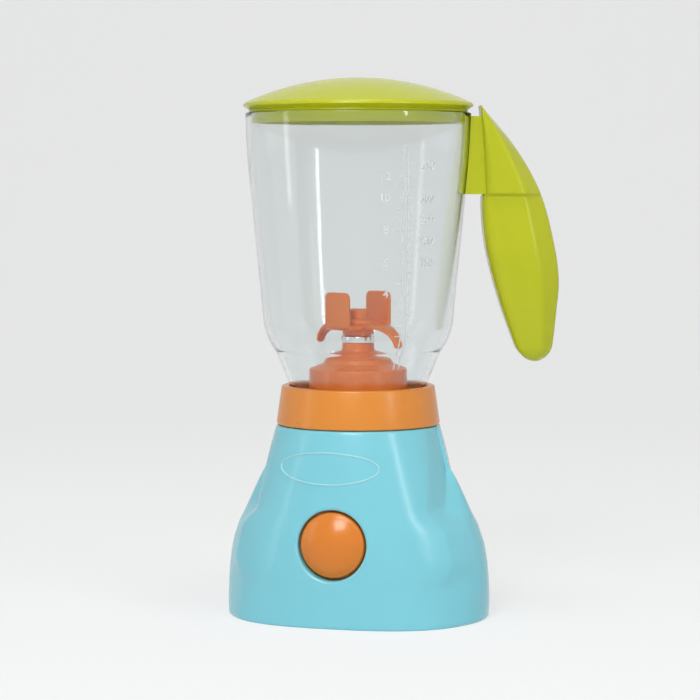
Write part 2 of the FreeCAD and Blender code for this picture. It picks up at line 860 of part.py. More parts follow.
def board_components():
    """The chip under its round drop of resin and an upright capacitor, on the board's back."""
    back = board_front_y + board_thickness
    chip = Part.makeSphere(chip_radius, Vector(0, 0, 0)).common(
        Part.makeCylinder(chip_radius, chip_height, Vector(0, 0, chip_radius - chip_height), UP))
    chip.rotate(ORIGIN, Vector(1, 0, 0), -90)
    chip.translate(Vector(chip_x, back - chip_radius + chip_height, button_z))
    can = rod_along_y(capacitor_radius, back, back + capacitor_length, capacitor_x, button_z)
    return Part.makeCompound([chip, can])


def led_lamp():
    top = neck_top_z + lamp_proud
    bottom = roof_under_z - seat_gap - lamp_rim_height
    lamp = Outline(0, bottom)
    lamp.line(lamp_rim_radius, bottom).line(lamp_rim_radius, bottom + lamp_rim_height)
    lamp.line(lamp_radius, bottom + lamp_rim_height).line(lamp_radius, top - lamp_radius)
    bend = lamp_radius * math.sqrt(0.5)
    lamp.arc(bend, top - lamp_radius + bend, 0, top)
    body = lamp.turned()
    body.translate(Vector(0, lamp_y, 0))
    return body


# ---------------------------------------------------------------- drive train in the base

motor_y = gear_module * (gear_teeth + pinion_teeth) / 2 + mesh_gap
motor_top_z = frame_bottom_z
motor_bottom_z = motor_top_z - motor_length
motor_end_z = motor_bottom_z - motor_cap_length
pinion_bottom_z = gear_bottom_z - (pinion_width - gear_width) / 2
gear_top_z = gear_bottom_z + gear_width
bush_flange_bottom_z = roof_under_z - drive_bush_flange
bush_top_z = neck_top_z + seat_gap
gear_hub_top_z = bush_flange_bottom_z - seat_gap
gear_hub_bottom_z = gear_bottom_z - gear_hub_foot
frame_bearing_bottom_z = frame_bottom_z - frame_bearing_height
knob_bottom_z = bush_top_z + seat_gap
knob_top_z = knob_bottom_z + knob_height
drive_shaft_top_z = knob_top_z - knob_dome - 1.0


def motor_prism(grow, bottom, top):
    round_can = cylinder(motor_radius + grow, bottom, top, 0, motor_y)
    flats = block((-motor_radius - 5, motor_radius + 5),
                  (motor_y - motor_flat - grow, motor_y + motor_flat + grow), (bottom, top))
    return round_can.common(flats)


def motor_can():
    can = motor_prism(0, motor_bottom_z, motor_top_z)
    boss = cylinder(motor_boss_radius, motor_top_z - 1, motor_top_z + motor_boss_height, 0, motor_y)
    bore = cylinder(motor_shaft_radius + running_gap, motor_bottom_z - 1, motor_top_z + 5, 0, motor_y)
    return can.fuse(boss).cut(bore)


def motor_end_cap():
    cap = motor_prism(0, motor_end_z, motor_bottom_z)
    boss = cylinder(motor_boss_radius, motor_end_z - motor_boss_height, motor_end_z + 1, 0, motor_y)
    tab_y = motor_y - motor_flat + motor_tab_inset
    tabs = [block((x - motor_tab_width / 2, x + motor_tab_width / 2),
                  (tab_y, tab_y + motor_tab_thickness), (motor_end_z - motor_tab_length, motor_end_z + 1))
            for x in (-motor_tab_spread, motor_tab_spread)]
    bore = cylinder(motor_shaft_radius + running_gap, motor_end_z, motor_bottom_z + 1, 0, motor_y)
    return cap.multiFuse([boss] + tabs).cut(bore)


def motor_shaft():
    return cylinder(motor_shaft_radius, motor_end_z + seat_gap,
                    pinion_bottom_z + pinion_width + pinion_hub_height, 0, motor_y)


def motor_pinion():
    teeth = gear_teeth_solid(pinion_teeth, pinion_bottom_z, pinion_width)
    if pinion_teeth % 2 == 0:
        teeth.rotate(ORIGIN, UP, 180.0 / pinion_teeth)
    teeth.rotate(ORIGIN, UP, -90)
    hub = cylinder(gear_module * pinion_teeth / 2 - 1.3 * gear_module, pinion_bottom_z + pinion_width - 1,
                   pinion_bottom_z + pinion_width + pinion_hub_height)
    pinion = teeth.fuse(hub)
    pinion.translate(Vector(0, motor_y, 0))
    return pinion.cut(cylinder(motor_shaft_radius + fixed_gap, pinion_bottom_z - 1,
                               pinion_bottom_z + pinion_width + 5, 0, motor_y))


def drive_gear():
    teeth = gear_teeth_solid(gear_teeth, gear_bottom_z, gear_width)
    teeth.rotate(ORIGIN, UP, 90)
    hub = cylinder(gear_hub_radius, gear_hub_bottom_z, gear_hub_top_z)
    root_radius = gear_module * gear_teeth / 2 - 1.2 * gear_module
    dish = tube(root_radius - gear_rim, gear_hub_radius, gear_top_z - gear_dish, gear_top_z + 1)
    gear = teeth.cut(dish).fuse(hub)
    return gear.cut(cylinder(shaft_radius + fixed_gap, gear_bottom_z - 5, gear_hub_top_z + 1))


def drive_shaft():
    return cylinder(shaft_radius, frame_bearing_bottom_z, drive_shaft_top_z)


def drive_coupling():
    """The toothed knob on the base's top that turns the cup under the jar."""
    points = toothed_points(coupling_teeth, knob_root_radius, knob_tip_radius,
                            knob_root_share, knob_tip_share)
    top = knob_top_z
    knob = extruded_polygon(points, knob_bottom_z, top)
    dome = Outline(0, knob_bottom_z)
    dome.line(knob_tip_radius + 0.1, knob_bottom_z)
    dome.line(knob_tip_radius + 0.1, top - knob_dome)
    dome.arc(knob_tip_radius * 0.75, top - knob_dome * 0.35, 0, top)
    knob = knob.common(dome.turned())
    bore = cylinder(shaft_radius + fixed_gap, knob_bottom_z - 1, drive_shaft_top_z + fixed_gap)
    return knob.cut(bore)


def drive_bush():
    flange = cylinder(drive_bush_flange_radius, bush_flange_bottom_z, roof_under_z)
    body = cylinder(drive_bush_radius, bush_flange_bottom_z, bush_top_z)
    bore = cylinder(shaft_radius + running_gap, bush_flange_bottom_z - 1, neck_top_z + 1)
    return flange.fuse(body).cut(bore)


retainer_post_x = motor_radius + seat_gap + cradle_wall + retainer_post_radius - retainer_post_sunk


def retainer_post_places():
    for side in (-1, 1):
        yield side * retainer_post_x, motor_y


def gearbox_frame():
    """A plate hung under the neck's roof, with the drive shaft's bearing and the motor's cradle."""
    bottom = frame_bottom_z
    hub = cylinder(frame_hub_radius, bottom, frame_top_z)
    pieces = [cylinder(frame_bearing_radius, frame_bearing_bottom_z, gear_hub_bottom_z - seat_gap),
              block((-frame_neck_width / 2, frame_neck_width / 2), (0, motor_y), (bottom, frame_top_z))]
    for degrees in frame_post_angles:
        arm = block((0, frame_post_ring), (-frame_arm_width / 2, frame_arm_width / 2),
                    (bottom, frame_top_z))
        arm.rotate(ORIGIN, UP, degrees)
        pieces.append(arm)
        x, y = on_ring(frame_post_ring, degrees)
        pieces.append(cylinder(frame_arm_width / 2, bottom, frame_top_z, x, y))
    pieces.append(motor_prism(seat_gap + cradle_wall, bottom - cradle_height, frame_top_z))
    for x, y in retainer_post_places():
        pieces.append(cylinder(retainer_post_radius, motor_end_z, frame_top_z, x, y))
        web_x = math.copysign(motor_radius + seat_gap + cradle_wall / 2, x)
        pieces.append(block((min(x, web_x), max(x, web_x)), (y - 1, y + 1),
                            (bottom - cradle_height, frame_top_z)))
    frame = hub.multiFuse(pieces)
    cuts = [cylinder(shaft_radius + running_gap, bottom - 10, frame_top_z + 10),
            motor_prism(seat_gap, motor_end_z - 1, bottom),
            cylinder(motor_boss_radius + seat_gap, bottom - 1, frame_top_z + 1, 0, motor_y)]
    cuts += [cylinder(screw_hole_radius, bottom - 1, frame_top_z + 1, x, y)
             for x, y in frame_post_places()]
    cuts += [cylinder(pilot_radius, motor_end_z - 1, motor_end_z + small_screw_length, x, y)
             for x, y in retainer_post_places()]
    return without(frame, cuts)


def frame_screws():
    return Part.makeCompound([screw(Vector(x, y, frame_bottom_z), UP, small_screw_length + 1)
                              for x, y in frame_post_places()])


def motor_retainer():
    top = motor_end_z
    bottom = top - retainer_thickness
    bar = block((-retainer_post_x, retainer_post_x),
                (motor_y - retainer_half_width, motor_y + retainer_half_width), (bottom, top))
    ends = [cylinder(retainer_half_width, bottom, top, x, y) for x, y in retainer_post_places()]
    holes = [cylinder(motor_boss_radius + seat_gap, bottom - 1, top + 1, 0, motor_y)]
    holes += [cylinder(screw_hole_radius, bottom - 1, top + 1, x, y) for x, y in retainer_post_places()]
    tab_y = motor_y - motor_flat + motor_tab_inset
    half_slot = motor_tab_width / 2 + seat_gap
    slot_y = (tab_y - half_slot, tab_y + motor_tab_thickness + half_slot)
    holes += [block((x - half_slot, x + half_slot), slot_y, (bottom - 1, top + 1))
              for x in (-motor_tab_spread, motor_tab_spread)]
    return without(joined([bar] + ends), holes)


def retainer_screws():
    seat = motor_end_z - retainer_thickness
    return Part.makeCompound([screw(Vector(x, y, seat), UP, small_screw_length - 1)
                              for x, y in retainer_post_places()])


# ---------------------------------------------------------------- collar, blade seat and blades

collar_bottom_z = base_seat_z + seat_gap
collar_top_z = collar_bottom_z + collar_height
web_bottom_z = neck_top_z + seat_gap
web_top_z = web_bottom_z + collar_web_thickness
cup_ceiling_z = knob_top_z + cup_gap
hub_bottom_z = seat_neck_top_z + bearing_cap_height + seat_gap
washer_top_z = seat_tube_bottom_z - seat_gap
washer_bottom_z = washer_top_z - washer_thickness
seat_bottom_z = web_top_z
flange_top_z = seat_bottom_z + seat_flange
jar_foot_z = flange_top_z
snap_bottom_z = collar_top_z - collar_lip - snap_height


def seat_post_places():
    for index in range(seat_post_count):
        yield on_ring(seat_post_ring, 90 + 360 * index / seat_post_count)


def collar():
    top_inner = jar_neck_radius + seat_gap
    snap_inner = top_inner + snap_depth
    edge = collar_edge_radius
    bend = edge * (1 - math.sqrt(0.5))
    lean = (collar_bottom_radius - collar_top_radius) / collar_height
    ring = Outline(neck_bottom_radius + sliding_gap, collar_bottom_z)
    ring.line(collar_bottom_radius - edge, collar_bottom_z)
    ring.arc(collar_bottom_radius - bend, collar_bottom_z + bend,
             collar_bottom_radius, collar_bottom_z + edge)
    ring.line(collar_top_radius + lean * edge, collar_top_z - edge)
    ring.arc(collar_top_radius - bend, collar_top_z - bend, collar_top_radius - edge, collar_top_z)
    ring.line(top_inner, collar_top_z).line(top_inner, collar_top_z - collar_lip)
    ring.line(snap_inner, collar_top_z - collar_lip).line(snap_inner, web_top_z)
    ring.line(collar_web_inner_radius, web_top_z).line(collar_web_inner_radius, web_bottom_z)
    ring.line(neck_top_radius + sliding_gap, web_bottom_z)
    body = ring.turned()
    cuts = []
    for x, y in seat_post_places():
        cuts.append(cylinder(screw_hole_radius, web_bottom_z - 1, web_top_z + 1, x, y))
        cuts.append(cylinder(screw_head_radius + screw_head_space, web_bottom_z - 1,
                             web_bottom_z + screw_head_height, x, y))
    return without(body, cuts)


def blade_seat():
    ceiling = seat_step_z - seat_wall
    upper_ceiling = seat_upper_z - seat_wall
    bush_outer = shaft_radius + bush_wall
    tube_outer = bush_outer + seat_tube_wall
    slope = (seat_neck_foot_z - seat_upper_z) / (seat_upper_radius - seat_neck_radius)
    under_cone_z = upper_ceiling + slope * (seat_upper_radius - seat_wall - tube_outer)
    profile = turned([
        (seat_flange_radius, seat_bottom_z), (seat_flange_radius, flange_top_z),
        (seat_step_radius, flange_top_z), (seat_step_radius - seat_draft, seat_step_z - seat_step_bevel),
        (seat_step_radius - seat_draft - seat_step_bevel, seat_step_z),
        (seat_upper_radius, seat_step_z), (seat_upper_radius - seat_draft, seat_upper_z),
        (seat_neck_radius + seat_draft, seat_neck_foot_z), (seat_neck_radius, seat_neck_top_z),
        (bush_outer + fixed_gap, seat_neck_top_z), (bush_outer + fixed_gap, seat_tube_bottom_z),
        (tube_outer, seat_tube_bottom_z), (tube_outer, under_cone_z),
        (seat_upper_radius - seat_wall, upper_ceiling), (seat_upper_radius - seat_wall, ceiling),
        (seat_step_radius - seat_wall, ceiling), (seat_step_radius - seat_wall, seat_bottom_z)])
    posts = [cylinder(seat_post_radius, seat_bottom_z, ceiling + seat_wall / 2, x, y)
             for x, y in seat_post_places()]
    holes = [cylinder(pilot_radius, seat_bottom_z - 1, seat_bottom_z + small_screw_length, x, y)
             for x, y in seat_post_places()]
    return without(profile.multiFuse(posts), holes)


def seat_screws():
    seat = web_bottom_z + screw_head_height
    return Part.makeCompound([screw(Vector(x, y, seat), UP, small_screw_length - 1)
                              for x, y in seat_post_places()])


def blade_bush():
    return tube(shaft_radius + bush_wall, shaft_radius + running_gap, seat_tube_bottom_z, seat_neck_top_z)


def bearing_cap():
    bottom = seat_neck_top_z
    top = bottom + bearing_cap_height
    edge = bearing_cap_edge
    return turned([(shaft_radius + running_gap, bottom), (bearing_cap_radius - edge, bottom),
                   (bearing_cap_radius, bottom + edge), (bearing_cap_radius, top - edge),
                   (bearing_cap_radius - edge, top), (shaft_radius + running_gap, top)])


def upper_blade():
    """A blade that leaves the hub level and turns up, with a round-cornered upright end."""
    inner = upper_blade_reach - blade_thickness
    floor = upper_blade_root_z
    bend = upper_blade_bend
    inner_bend = bend - blade_thickness
    profile = Outline(crown_radius * 0.5, floor).line(upper_blade_reach - bend, floor)
    turn = math.sqrt(0.5)
    profile.arc(upper_blade_reach - bend + bend * turn, floor + bend - bend * turn,
                upper_blade_reach, floor + bend)
    profile.line(upper_blade_reach, upper_blade_top_z).line(inner, upper_blade_top_z)
    profile.line(inner, floor + bend)
    profile.arc(inner - inner_bend + inner_bend * turn, floor + bend - inner_bend * turn,
                inner - inner_bend, floor + blade_thickness)
    profile.line(crown_radius * 0.5, floor + blade_thickness)
    side = profile.slab(upper_blade_width / 2)
    top_edges = [edge for edge in side.Edges
                 if edge.CenterOfMass.z > upper_blade_top_z - 0.01
                 and abs(edge.CenterOfMass.y) > upper_blade_width / 2 - 0.1]
    return side.makeFillet(upper_blade_corner, top_edges)


def lower_blade():
    """A pointed blade that leaves the hub level and curves down."""
    top = lower_blade_top_z
    drop = top - lower_blade_tip_z
    span = lower_blade_reach - lower_blade_flat
    profile = Outline(crown_radius * 0.5, top).line(lower_blade_flat, top)
    profile.curve([(lower_blade_flat + span * 0.5, top - drop * 0.14),
                   (lower_blade_flat + span * 0.88, top - drop * 0.55),
                   (lower_blade_reach, top - drop)])
    profile.line(lower_blade_reach - blade_thickness * 0.9, top - drop + 0.4)
    under = top - blade_thickness
    profile.curve([(lower_blade_flat + span * 0.66, top - drop * 0.62),
                   (lower_blade_flat + span * 0.34, under - drop * 0.1),
                   (lower_blade_flat, under)])
    profile.line(crown_radius * 0.5, under)
    side = profile.slab(lower_blade_root_width / 2)
    root = lower_blade_root_width / 2
    tip = lower_blade_tip_width / 2
    plan = extruded_polygon([(0, -root), (lower_blade_flat * 0.8, -root), (lower_blade_reach - tip, -tip),
                             (lower_blade_reach, -tip * 0.4), (lower_blade_reach, tip * 0.4),
                             (lower_blade_reach - tip, tip), (lower_blade_flat * 0.8, root), (0, root)],
                            lower_blade_tip_z - 5, top + 5)
    return side.common(plan)


def blade_rotor():
    hub = turned([(0, hub_bottom_z), (hub_radius - hub_edge, hub_bottom_z),
                  (hub_radius, hub_bottom_z + hub_edge), (hub_radius, hub_top_z - hub_top_edge),
                  (hub_radius - hub_top_edge, hub_top_z), (crown_radius, hub_top_z),
                  (crown_radius, crown_top_z - crown_edge), (crown_radius - crown_edge, crown_top_z),
                  (0, crown_top_z)])
    blades = []
    for index, blade in enumerate((upper_blade(), lower_blade(), upper_blade(), lower_blade())):
        blade.rotate(ORIGIN, UP, -90 - blade_direction + 90 * index)
        blades.append(blade)
    rotor = hub.multiFuse(blades)
    bore = cylinder(shaft_radius + fixed_gap, hub_bottom_z - 1, hub_bottom_z + shaft_in_hub + fixed_gap)
    return rotor.cut(bore)


def blade_shaft():
    return cylinder(shaft_radius, cup_ceiling_z, hub_bottom_z + shaft_in_hub)


def driven_coupling():
    """The cup on the blade shaft that fits over the base's knob."""
    top = cup_ceiling_z + cup_roof
    outer = knob_tip_radius + cup_gap + cup_wall
    body = turned([(0, cup_bottom_z), (outer, cup_bottom_z), (outer, cup_ceiling_z),
                   (outer - cup_wall, top), (cup_hub_radius, top),
                   (cup_hub_radius, washer_bottom_z - seat_gap),
                   (0, washer_bottom_z - seat_gap)])
    points = toothed_points(coupling_teeth, knob_root_radius + cup_gap, knob_tip_radius + cup_gap,
                            knob_root_share + cup_share_gap, knob_tip_share + cup_share_gap)
    socket = extruded_polygon(points, cup_bottom_z - 1, cup_ceiling_z)
    bore = cylinder(shaft_radius + fixed_gap, cup_ceiling_z - 1, washer_bottom_z)
    return without(body, [socket, bore])


def shaft_washer():
    return tube(washer_radius, shaft_radius + fixed_gap, washer_bottom_z, washer_top_z)


# ---------------------------------------------------------------- jar


def jar_outline(inset, top_z, foot_z):
    """The jar's body as a turned solid, with its wall line moved inwards by the inset."""
    shoulder_x = (jar_cone_radius + jar_shoulder_radius) / 2 - inset
    shoulder_z = (jar_cone_z + jar_shoulder_z) / 2
    slope = math.atan2(jar_shoulder_radius - jar_cone_radius, jar_shoulder_z - jar_cone_z)
    bulge_x = jar_shoulder_bulge * math.cos(slope)
    bulge_z = -jar_shoulder_bulge * math.sin(slope)
    drop = inset * math.tan(slope)
    outline = Outline(0, foot_z)
    outline.line(jar_neck_radius - inset, foot_z)
    outline.line(jar_neck_radius - inset, jar_neck_top_z + drop / 2)
    outline.line(jar_cone_radius - inset, jar_cone_z + drop)
    outline.arc(shoulder_x + bulge_x, shoulder_z + bulge_z + drop / 2,
                jar_shoulder_radius - inset, jar_shoulder_z)
    outline.line(jar_upper_radius - inset, jar_upper_z)
    outline.arc((jar_upper_radius + jar_rim_radius) / 2 + jar_rim_bulge - inset,
                (jar_upper_z + jar_rim_z) / 2, jar_rim_radius - inset, jar_rim_z)
    if top_z > jar_rim_z:
        outline.line(jar_rim_radius - inset, top_z)
    outline.line(0, top_z)
    return outline.turned()


lug_end_x = jar_rim_radius + lug_out


def lug_screw_places():
    """(X, Z) of the screws that pass through the jar's lug."""
    x = lug_end_x - handle_lug_screw_inset
    yield x, lug_bottom_z + handle_lug_screw_inset
    yield x, lug_top_z - handle_lug_screw_inset


def handle_screw_places():
    """(X, Z) of all the screws across the handle."""
    yield from lug_screw_places()
    yield jar_rim_radius + handle_grip_screw_out, handle_grip_screw_z


def with_handle(shape):
    """The shape, made with the handle pointing along X, turned to where the handle stands."""
    turned_shape = shape.copy()
    turned_shape.rotate(ORIGIN, UP, handle_turn)
    return turned_shape


def jar():
    body = jar_outline(0, jar_rim_z, jar_foot_z)
    bead = Outline(jar_neck_radius - jar_wall / 2, snap_bottom_z).line(jar_neck_radius, snap_bottom_z)
    bead.arc(jar_neck_radius + snap_depth, snap_bottom_z + snap_height / 2,
             jar_neck_radius, snap_bottom_z + snap_height)
    bead.line(jar_neck_radius - jar_wall / 2, snap_bottom_z + snap_height)
    lug = block((jar_neck_radius, lug_end_x), (-lug_thickness / 2, lug_thickness / 2),
                (lug_bottom_z, lug_top_z))
    body = body.multiFuse([bead.turned(), lug])
    body = body.cut(jar_outline(jar_wall, jar_rim_z + 5, jar_foot_z - 5))
    holes = [rod_along_y(screw_hole_radius, -lug_thickness, lug_thickness, x, z)
             for x, z in lug_screw_places()]
    return with_handle(without(body, holes))


# ---------------------------------------------------------------- handle

handle_screw_tip_y = handle_screw_seat_y - handle_screw_length - 0.5


def handle_side(inset, half_width):
    """The handle's side view as a slab: a block at the jar's rim with a banana-shaped grip below.

    Its inner end lies inside the jar, whose outline then trims it.
    """
    rim = jar_rim_radius
    inner = [(rim + out + inset, z) for out, z in handle_inner_curve]
    inner[-1] = (inner[-1][0], inner[-1][1] + inset)
    outer = [(rim + out - inset, z) for out, z in handle_outer_curve]
    side = Outline(jar_shoulder_radius, handle_block_bottom_z + inset)
    side.line(rim + handle_block_inner_out + inset, handle_block_bottom_z + inset)
    side.curve(inner)
    side.arc(rim + handle_tip_out, handle_tip_z + inset,
             rim + handle_tip_outer_out - inset, handle_tip_outer_z + inset)
    top = (rim + handle_top_end_out + 0.3 * inset, handle_top_z - 1.6 * inset)
    side.curve(outer + [top])
    side.line(rim + handle_top_out + inset, top[1])
    side.line(rim + handle_top_out + inset, handle_root_top_z - inset)
    side.line(jar_shoulder_radius, handle_root_top_z - inset)
    return side.slab(half_width)


def handle_front(inset):
    """The handle's front view, carried through along X: wide block, slimmer grip, narrow tip."""
    block_side = (handle_block_half_width - inset, handle_block_bottom_z + handle_inner_edge)
    grip = [(handle_grip_top_half_width - inset, handle_block_bottom_z - handle_inner_edge),
            (handle_grip_half_width - inset, handle_widest_z),
            (handle_tip_half_width - inset, handle_tip_z)]
    outline = Outline(handle_block_half_width - inset, handle_top_z + 5)
    outline.line(*block_side).line(*grip[0])
    outline.curve(grip[1:])
    outline.line(-grip[-1][0], grip[-1][1])
    outline.curve([(-x, z) for x, z in reversed(grip[:-1])])
    outline.line(-block_side[0], block_side[1])
    outline.line(-block_side[0], handle_top_z + 5)
    face = outline.face()
    face.rotate(ORIGIN, UP, 90)
    return face.extrude(Vector(2 * (jar_rim_radius + handle_tip_out), 0, 0))


def handle_solid(inset):
    return handle_side(inset, 2 * handle_block_half_width).common(handle_front(inset))


def handle_form():
    """The handle's outer form with the long edges of its block and grip rounded."""
    form = handle_solid(0)
    beyond_x = jar_rim_radius + handle_block_inner_out
    long_edges = [edge for edge in form.Edges
                  if edge.CenterOfMass.x > beyond_x and abs(edge.CenterOfMass.y) > 1
                  and (edge.BoundBox.ZLength > 0.1 or edge.Length < handle_edge_radius)]
    return form.makeFillet(handle_edge_radius, long_edges)


def handle_body():
    """Both halves in one: a hollow shell round the jar's lug, with bosses for its screws."""
    near_jar = jar_outline(-seat_gap, handle_top_z + 5, jar_foot_z)
    root_side = jar_outline(-seat_gap - handle_root_length, handle_top_z + 5, jar_foot_z)
    root_side = root_side.cut(block((0, 2 * jar_rim_radius),
                                    (-handle_root_half_width, handle_root_half_width),
                                    (0, 2 * handle_top_z)))
    round_jar = jar_outline(-seat_gap - handle_wall, handle_top_z + 5, jar_foot_z)
    cavity = handle_solid(handle_wall).cut(round_jar)
    beside_root = block((0, 2 * jar_rim_radius),
                        (handle_root_half_width - handle_wall, 2 * handle_block_half_width),
                        (handle_block_bottom_z, handle_top_z))
    cavity = cavity.cut(beside_root.common(root_side))
    bosses = [rod_along_y(handle_boss_radius, -handle_block_half_width, handle_block_half_width, x, z)
              for x, z in handle_screw_places()]
    form = handle_form()
    shell = form.cut(cavity).multiFuse([boss.common(form) for boss in bosses])
    lug_slot = block((0, lug_end_x + seat_gap),
                     (-lug_thickness / 2 - seat_gap, lug_thickness / 2 + seat_gap),
                     (lug_bottom_z - seat_gap, lug_top_z + seat_gap))
    holes = []
    for x, z in handle_screw_places():
        holes.append(rod_along_y(pilot_radius, handle_screw_tip_y, handle_screw_seat_y, x, z))
        holes.append(rod_along_y(screw_hole_radius, 0, handle_screw_seat_y, x, z))
        holes.append(rod_along_y(screw_head_radius + screw_head_space, handle_screw_seat_y,
                                 2 * handle_block_half_width, x, z))
    return without(shell, [near_jar, root_side, lug_slot] + holes)


def handle_half(side):
    near = side * parting_gap / 2
    far = side * 2 * handle_block_half_width
    keep = block((0, 2 * (jar_rim_radius + handle_tip_out)), (min(near, far), max(near, far)),
                 (0, 2 * handle_top_z))
    return with_handle(handle_body().common(keep))


def handle_screws():
    screws = [screw(Vector(x, handle_screw_seat_y, z), Vector(0, -1, 0), handle_screw_length)
              for x, z in handle_screw_places()]
    return with_handle(Part.makeCompound(screws))


# ---------------------------------------------------------------- lid


def lid_line(radius, drop=0.0):
    """Height of the lid's domed top at a radius: a sphere through the apex and the shoulder."""
    rise = lid_apex_z - lid_shoulder_z
    sphere = (lid_shoulder_radius ** 2 + rise ** 2) / (2 * rise)
    return lid_apex_z - drop - sphere + math.sqrt(sphere ** 2 - radius ** 2)


def lid():
    bottom = jar_rim_z + seat_gap
    skirt = jar_rim_radius - jar_wall - lid_skirt_gap
    skirt_low = skirt - lid_skirt_draft
    inside = skirt_low - lid_skirt_wall
    cover = Outline(0, lid_apex_z)
    cover.arc(lid_shoulder_radius / 2, lid_line(lid_shoulder_radius / 2),
              lid_shoulder_radius, lid_shoulder_z)
    bend_x = lid_radius - (lid_radius - lid_shoulder_radius) * 0.3
    bend_z = lid_shoulder_z - lid_edge_radius * 0.35
    cover.arc(bend_x, bend_z, lid_radius, lid_shoulder_z - lid_edge_radius)
    cover.line(lid_radius, bottom).line(skirt, bottom).line(skirt_low, bottom - lid_skirt_height)
    cover.line(inside, bottom - lid_skirt_height).line(inside, lid_line(inside, lid_wall))
    cover.arc(inside / 2, lid_line(inside / 2, lid_wall), 0, lid_apex_z - lid_wall)
    return cover.turned()


# ---------------------------------------------------------------- export

nodes = {
    "base_shell": base_shell,
    "bottom_cover": bottom_cover,
    "cover_screws": cover_screws,
    "battery_door": battery_door,
    "door_screw": door_screw,
    "battery_cells": battery_cells,
    "battery_contacts": battery_contacts,
    "speaker": speaker,
    "main_button": main_button,
    "button_spring": button_spring,
    "switch_board": switch_board,
    "board_screws": board_screws,
    "press_switch": press_switch,
    "board_components": board_components,
    "led_lamp": led_lamp,
    "gearbox_frame": gearbox_frame,
    "frame_screws": frame_screws,
    "motor_can": motor_can,
    "motor_end_cap": motor_end_cap,
    "motor_retainer": motor_retainer,
    "retainer_screws": retainer_screws,
    "motor_shaft": motor_shaft,
    "motor_pinion": motor_pinion,
    "drive_gear": drive_gear,
    "drive_shaft": drive_shaft,
    "drive_bush": drive_bush,
    "drive_coupling": drive_coupling,
    "collar": collar,
    "blade_seat": blade_seat,
    "seat_screws": seat_screws,
    "blade_bush": blade_bush,
    "bearing_cap": bearing_cap,
    "blade_rotor": blade_rotor,
    "blade_shaft": blade_shaft,
    "driven_coupling": driven_coupling,
    "shaft_washer": shaft_washer,
    "jar": jar,
    "handle_front_half": lambda: handle_half(-1),
    "handle_rear_half": lambda: handle_half(1),
    "handle_screws": handle_screws,
    "lid": lid,
}

if __name__ == "__main__":
    os.makedirs("parts", exist_ok=True)
    for name, make in nodes.items():
        export(name, make())
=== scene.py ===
"""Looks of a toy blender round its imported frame.

A turquoise base with a domed orange button, an orange collar, a clear jar with a moulded measuring
scale, orange blades on a stepped orange seat, and a lime handle and lid. Sizes are in millimetres,
in the frame's own axes: +Z up, the button towards -Y, the handle towards +X and a little +Y.
"""
from __future__ import annotations

import logging
from dataclasses import dataclass, field
from enum import Enum

import bmesh
import bpy
import numpy as np
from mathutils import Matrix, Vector

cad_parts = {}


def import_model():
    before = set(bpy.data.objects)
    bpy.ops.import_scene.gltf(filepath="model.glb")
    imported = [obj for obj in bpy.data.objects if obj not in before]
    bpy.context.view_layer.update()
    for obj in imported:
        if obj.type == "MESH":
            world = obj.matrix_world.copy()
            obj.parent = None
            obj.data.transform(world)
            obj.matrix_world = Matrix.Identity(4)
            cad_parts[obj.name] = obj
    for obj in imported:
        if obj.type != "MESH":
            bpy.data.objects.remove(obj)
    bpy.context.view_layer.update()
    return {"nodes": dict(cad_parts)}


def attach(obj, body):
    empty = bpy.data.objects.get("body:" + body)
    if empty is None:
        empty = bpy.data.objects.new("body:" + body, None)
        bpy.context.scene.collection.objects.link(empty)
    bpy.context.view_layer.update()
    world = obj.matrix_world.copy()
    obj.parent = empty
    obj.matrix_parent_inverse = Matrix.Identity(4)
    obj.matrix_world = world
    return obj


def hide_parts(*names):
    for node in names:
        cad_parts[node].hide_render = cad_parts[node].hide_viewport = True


LOG = logging.getLogger("toy_blender")
MM = 0.001
WELD = 2e-6           # metres within which two points become one
ROUND_MIDDLE = 0.293  # a quarter round's middle lies this share of its radius in from each side
Array = np.ndarray
Knots = tuple[tuple[float, float], ...]


class Body(Enum):
    """The frame's bodies that new pieces ride on."""
    BASE = "base"
    BUTTON = "button"
    JAR = "jar"
    BLADES = "blades"
    LID = "lid"


class Slot(Enum):
    """The record's material slots that new pieces name. Nothing here gives a slot to a piece."""
    BASE = "base_plastic"
    ORANGE = "orange_plastic"
    LIME = "lime_plastic"
    CLEAR = "clear_plastic"
    BRIGHT = "bright_ring"


# ---------------------------------------------------------------- finishes


def linear(hex_colour: str) -> tuple[float, float, float, float]:
    """Turns an sRGB hex colour into linear red, green, blue and alpha.

    Args:
        hex_colour: The colour as "#RRGGBB".

    Returns:
        Four linear values, alpha 1.
    """
    value = np.array([int(hex_colour[i:i + 2], 16) for i in (1, 3, 5)]) / 255.0
    low = value / 12.92
    high = ((value + 0.055) / 1.055) ** 2.4
    red, green, blue = np.where(value <= 0.04045, low, high)
    return float(red), float(green), float(blue), 1.0


def scaled(hex_colour: str, factor: float) -> tuple[float, float, float, float]:
    """A hex colour in linear values, made lighter or darker by a factor."""
    red, green, blue, alpha = linear(hex_colour)
    return min(red * factor, 1.0), min(green * factor, 1.0), min(blue * factor, 1.0), alpha


def add_node(tree: bpy.types.NodeTree, kind: str, settings: dict | None = None,
             links: dict | None = None) -> bpy.types.Node:
    """Adds one shader node.

    Args:
        tree: The node tree that gets the node.
        kind: The node type's name in bpy.types.
        settings: Values by attribute name, or by the name or number of an input.
        links: Output sockets by the name or number of the input that each one feeds.

    Returns:
        The new node.
    """
    node = tree.nodes.new(kind)
    for key, value in (settings or {}).items():
        if isinstance(key, str) and hasattr(node, key):
            setattr(node, key, value)
        else:
            node.inputs[key].default_value = value
    for key, source in (links or {}).items():
        tree.links.new(source, node.inputs[key])
    return node


def new_material(name: str) -> bpy.types.Material:
    """An empty material with nodes.

    Args:
        name: The material's name.

    Returns:
        The material.
    """
    material = bpy.data.materials.new(name)
    material.use_nodes = True
    material.node_tree.nodes.clear()
    return material


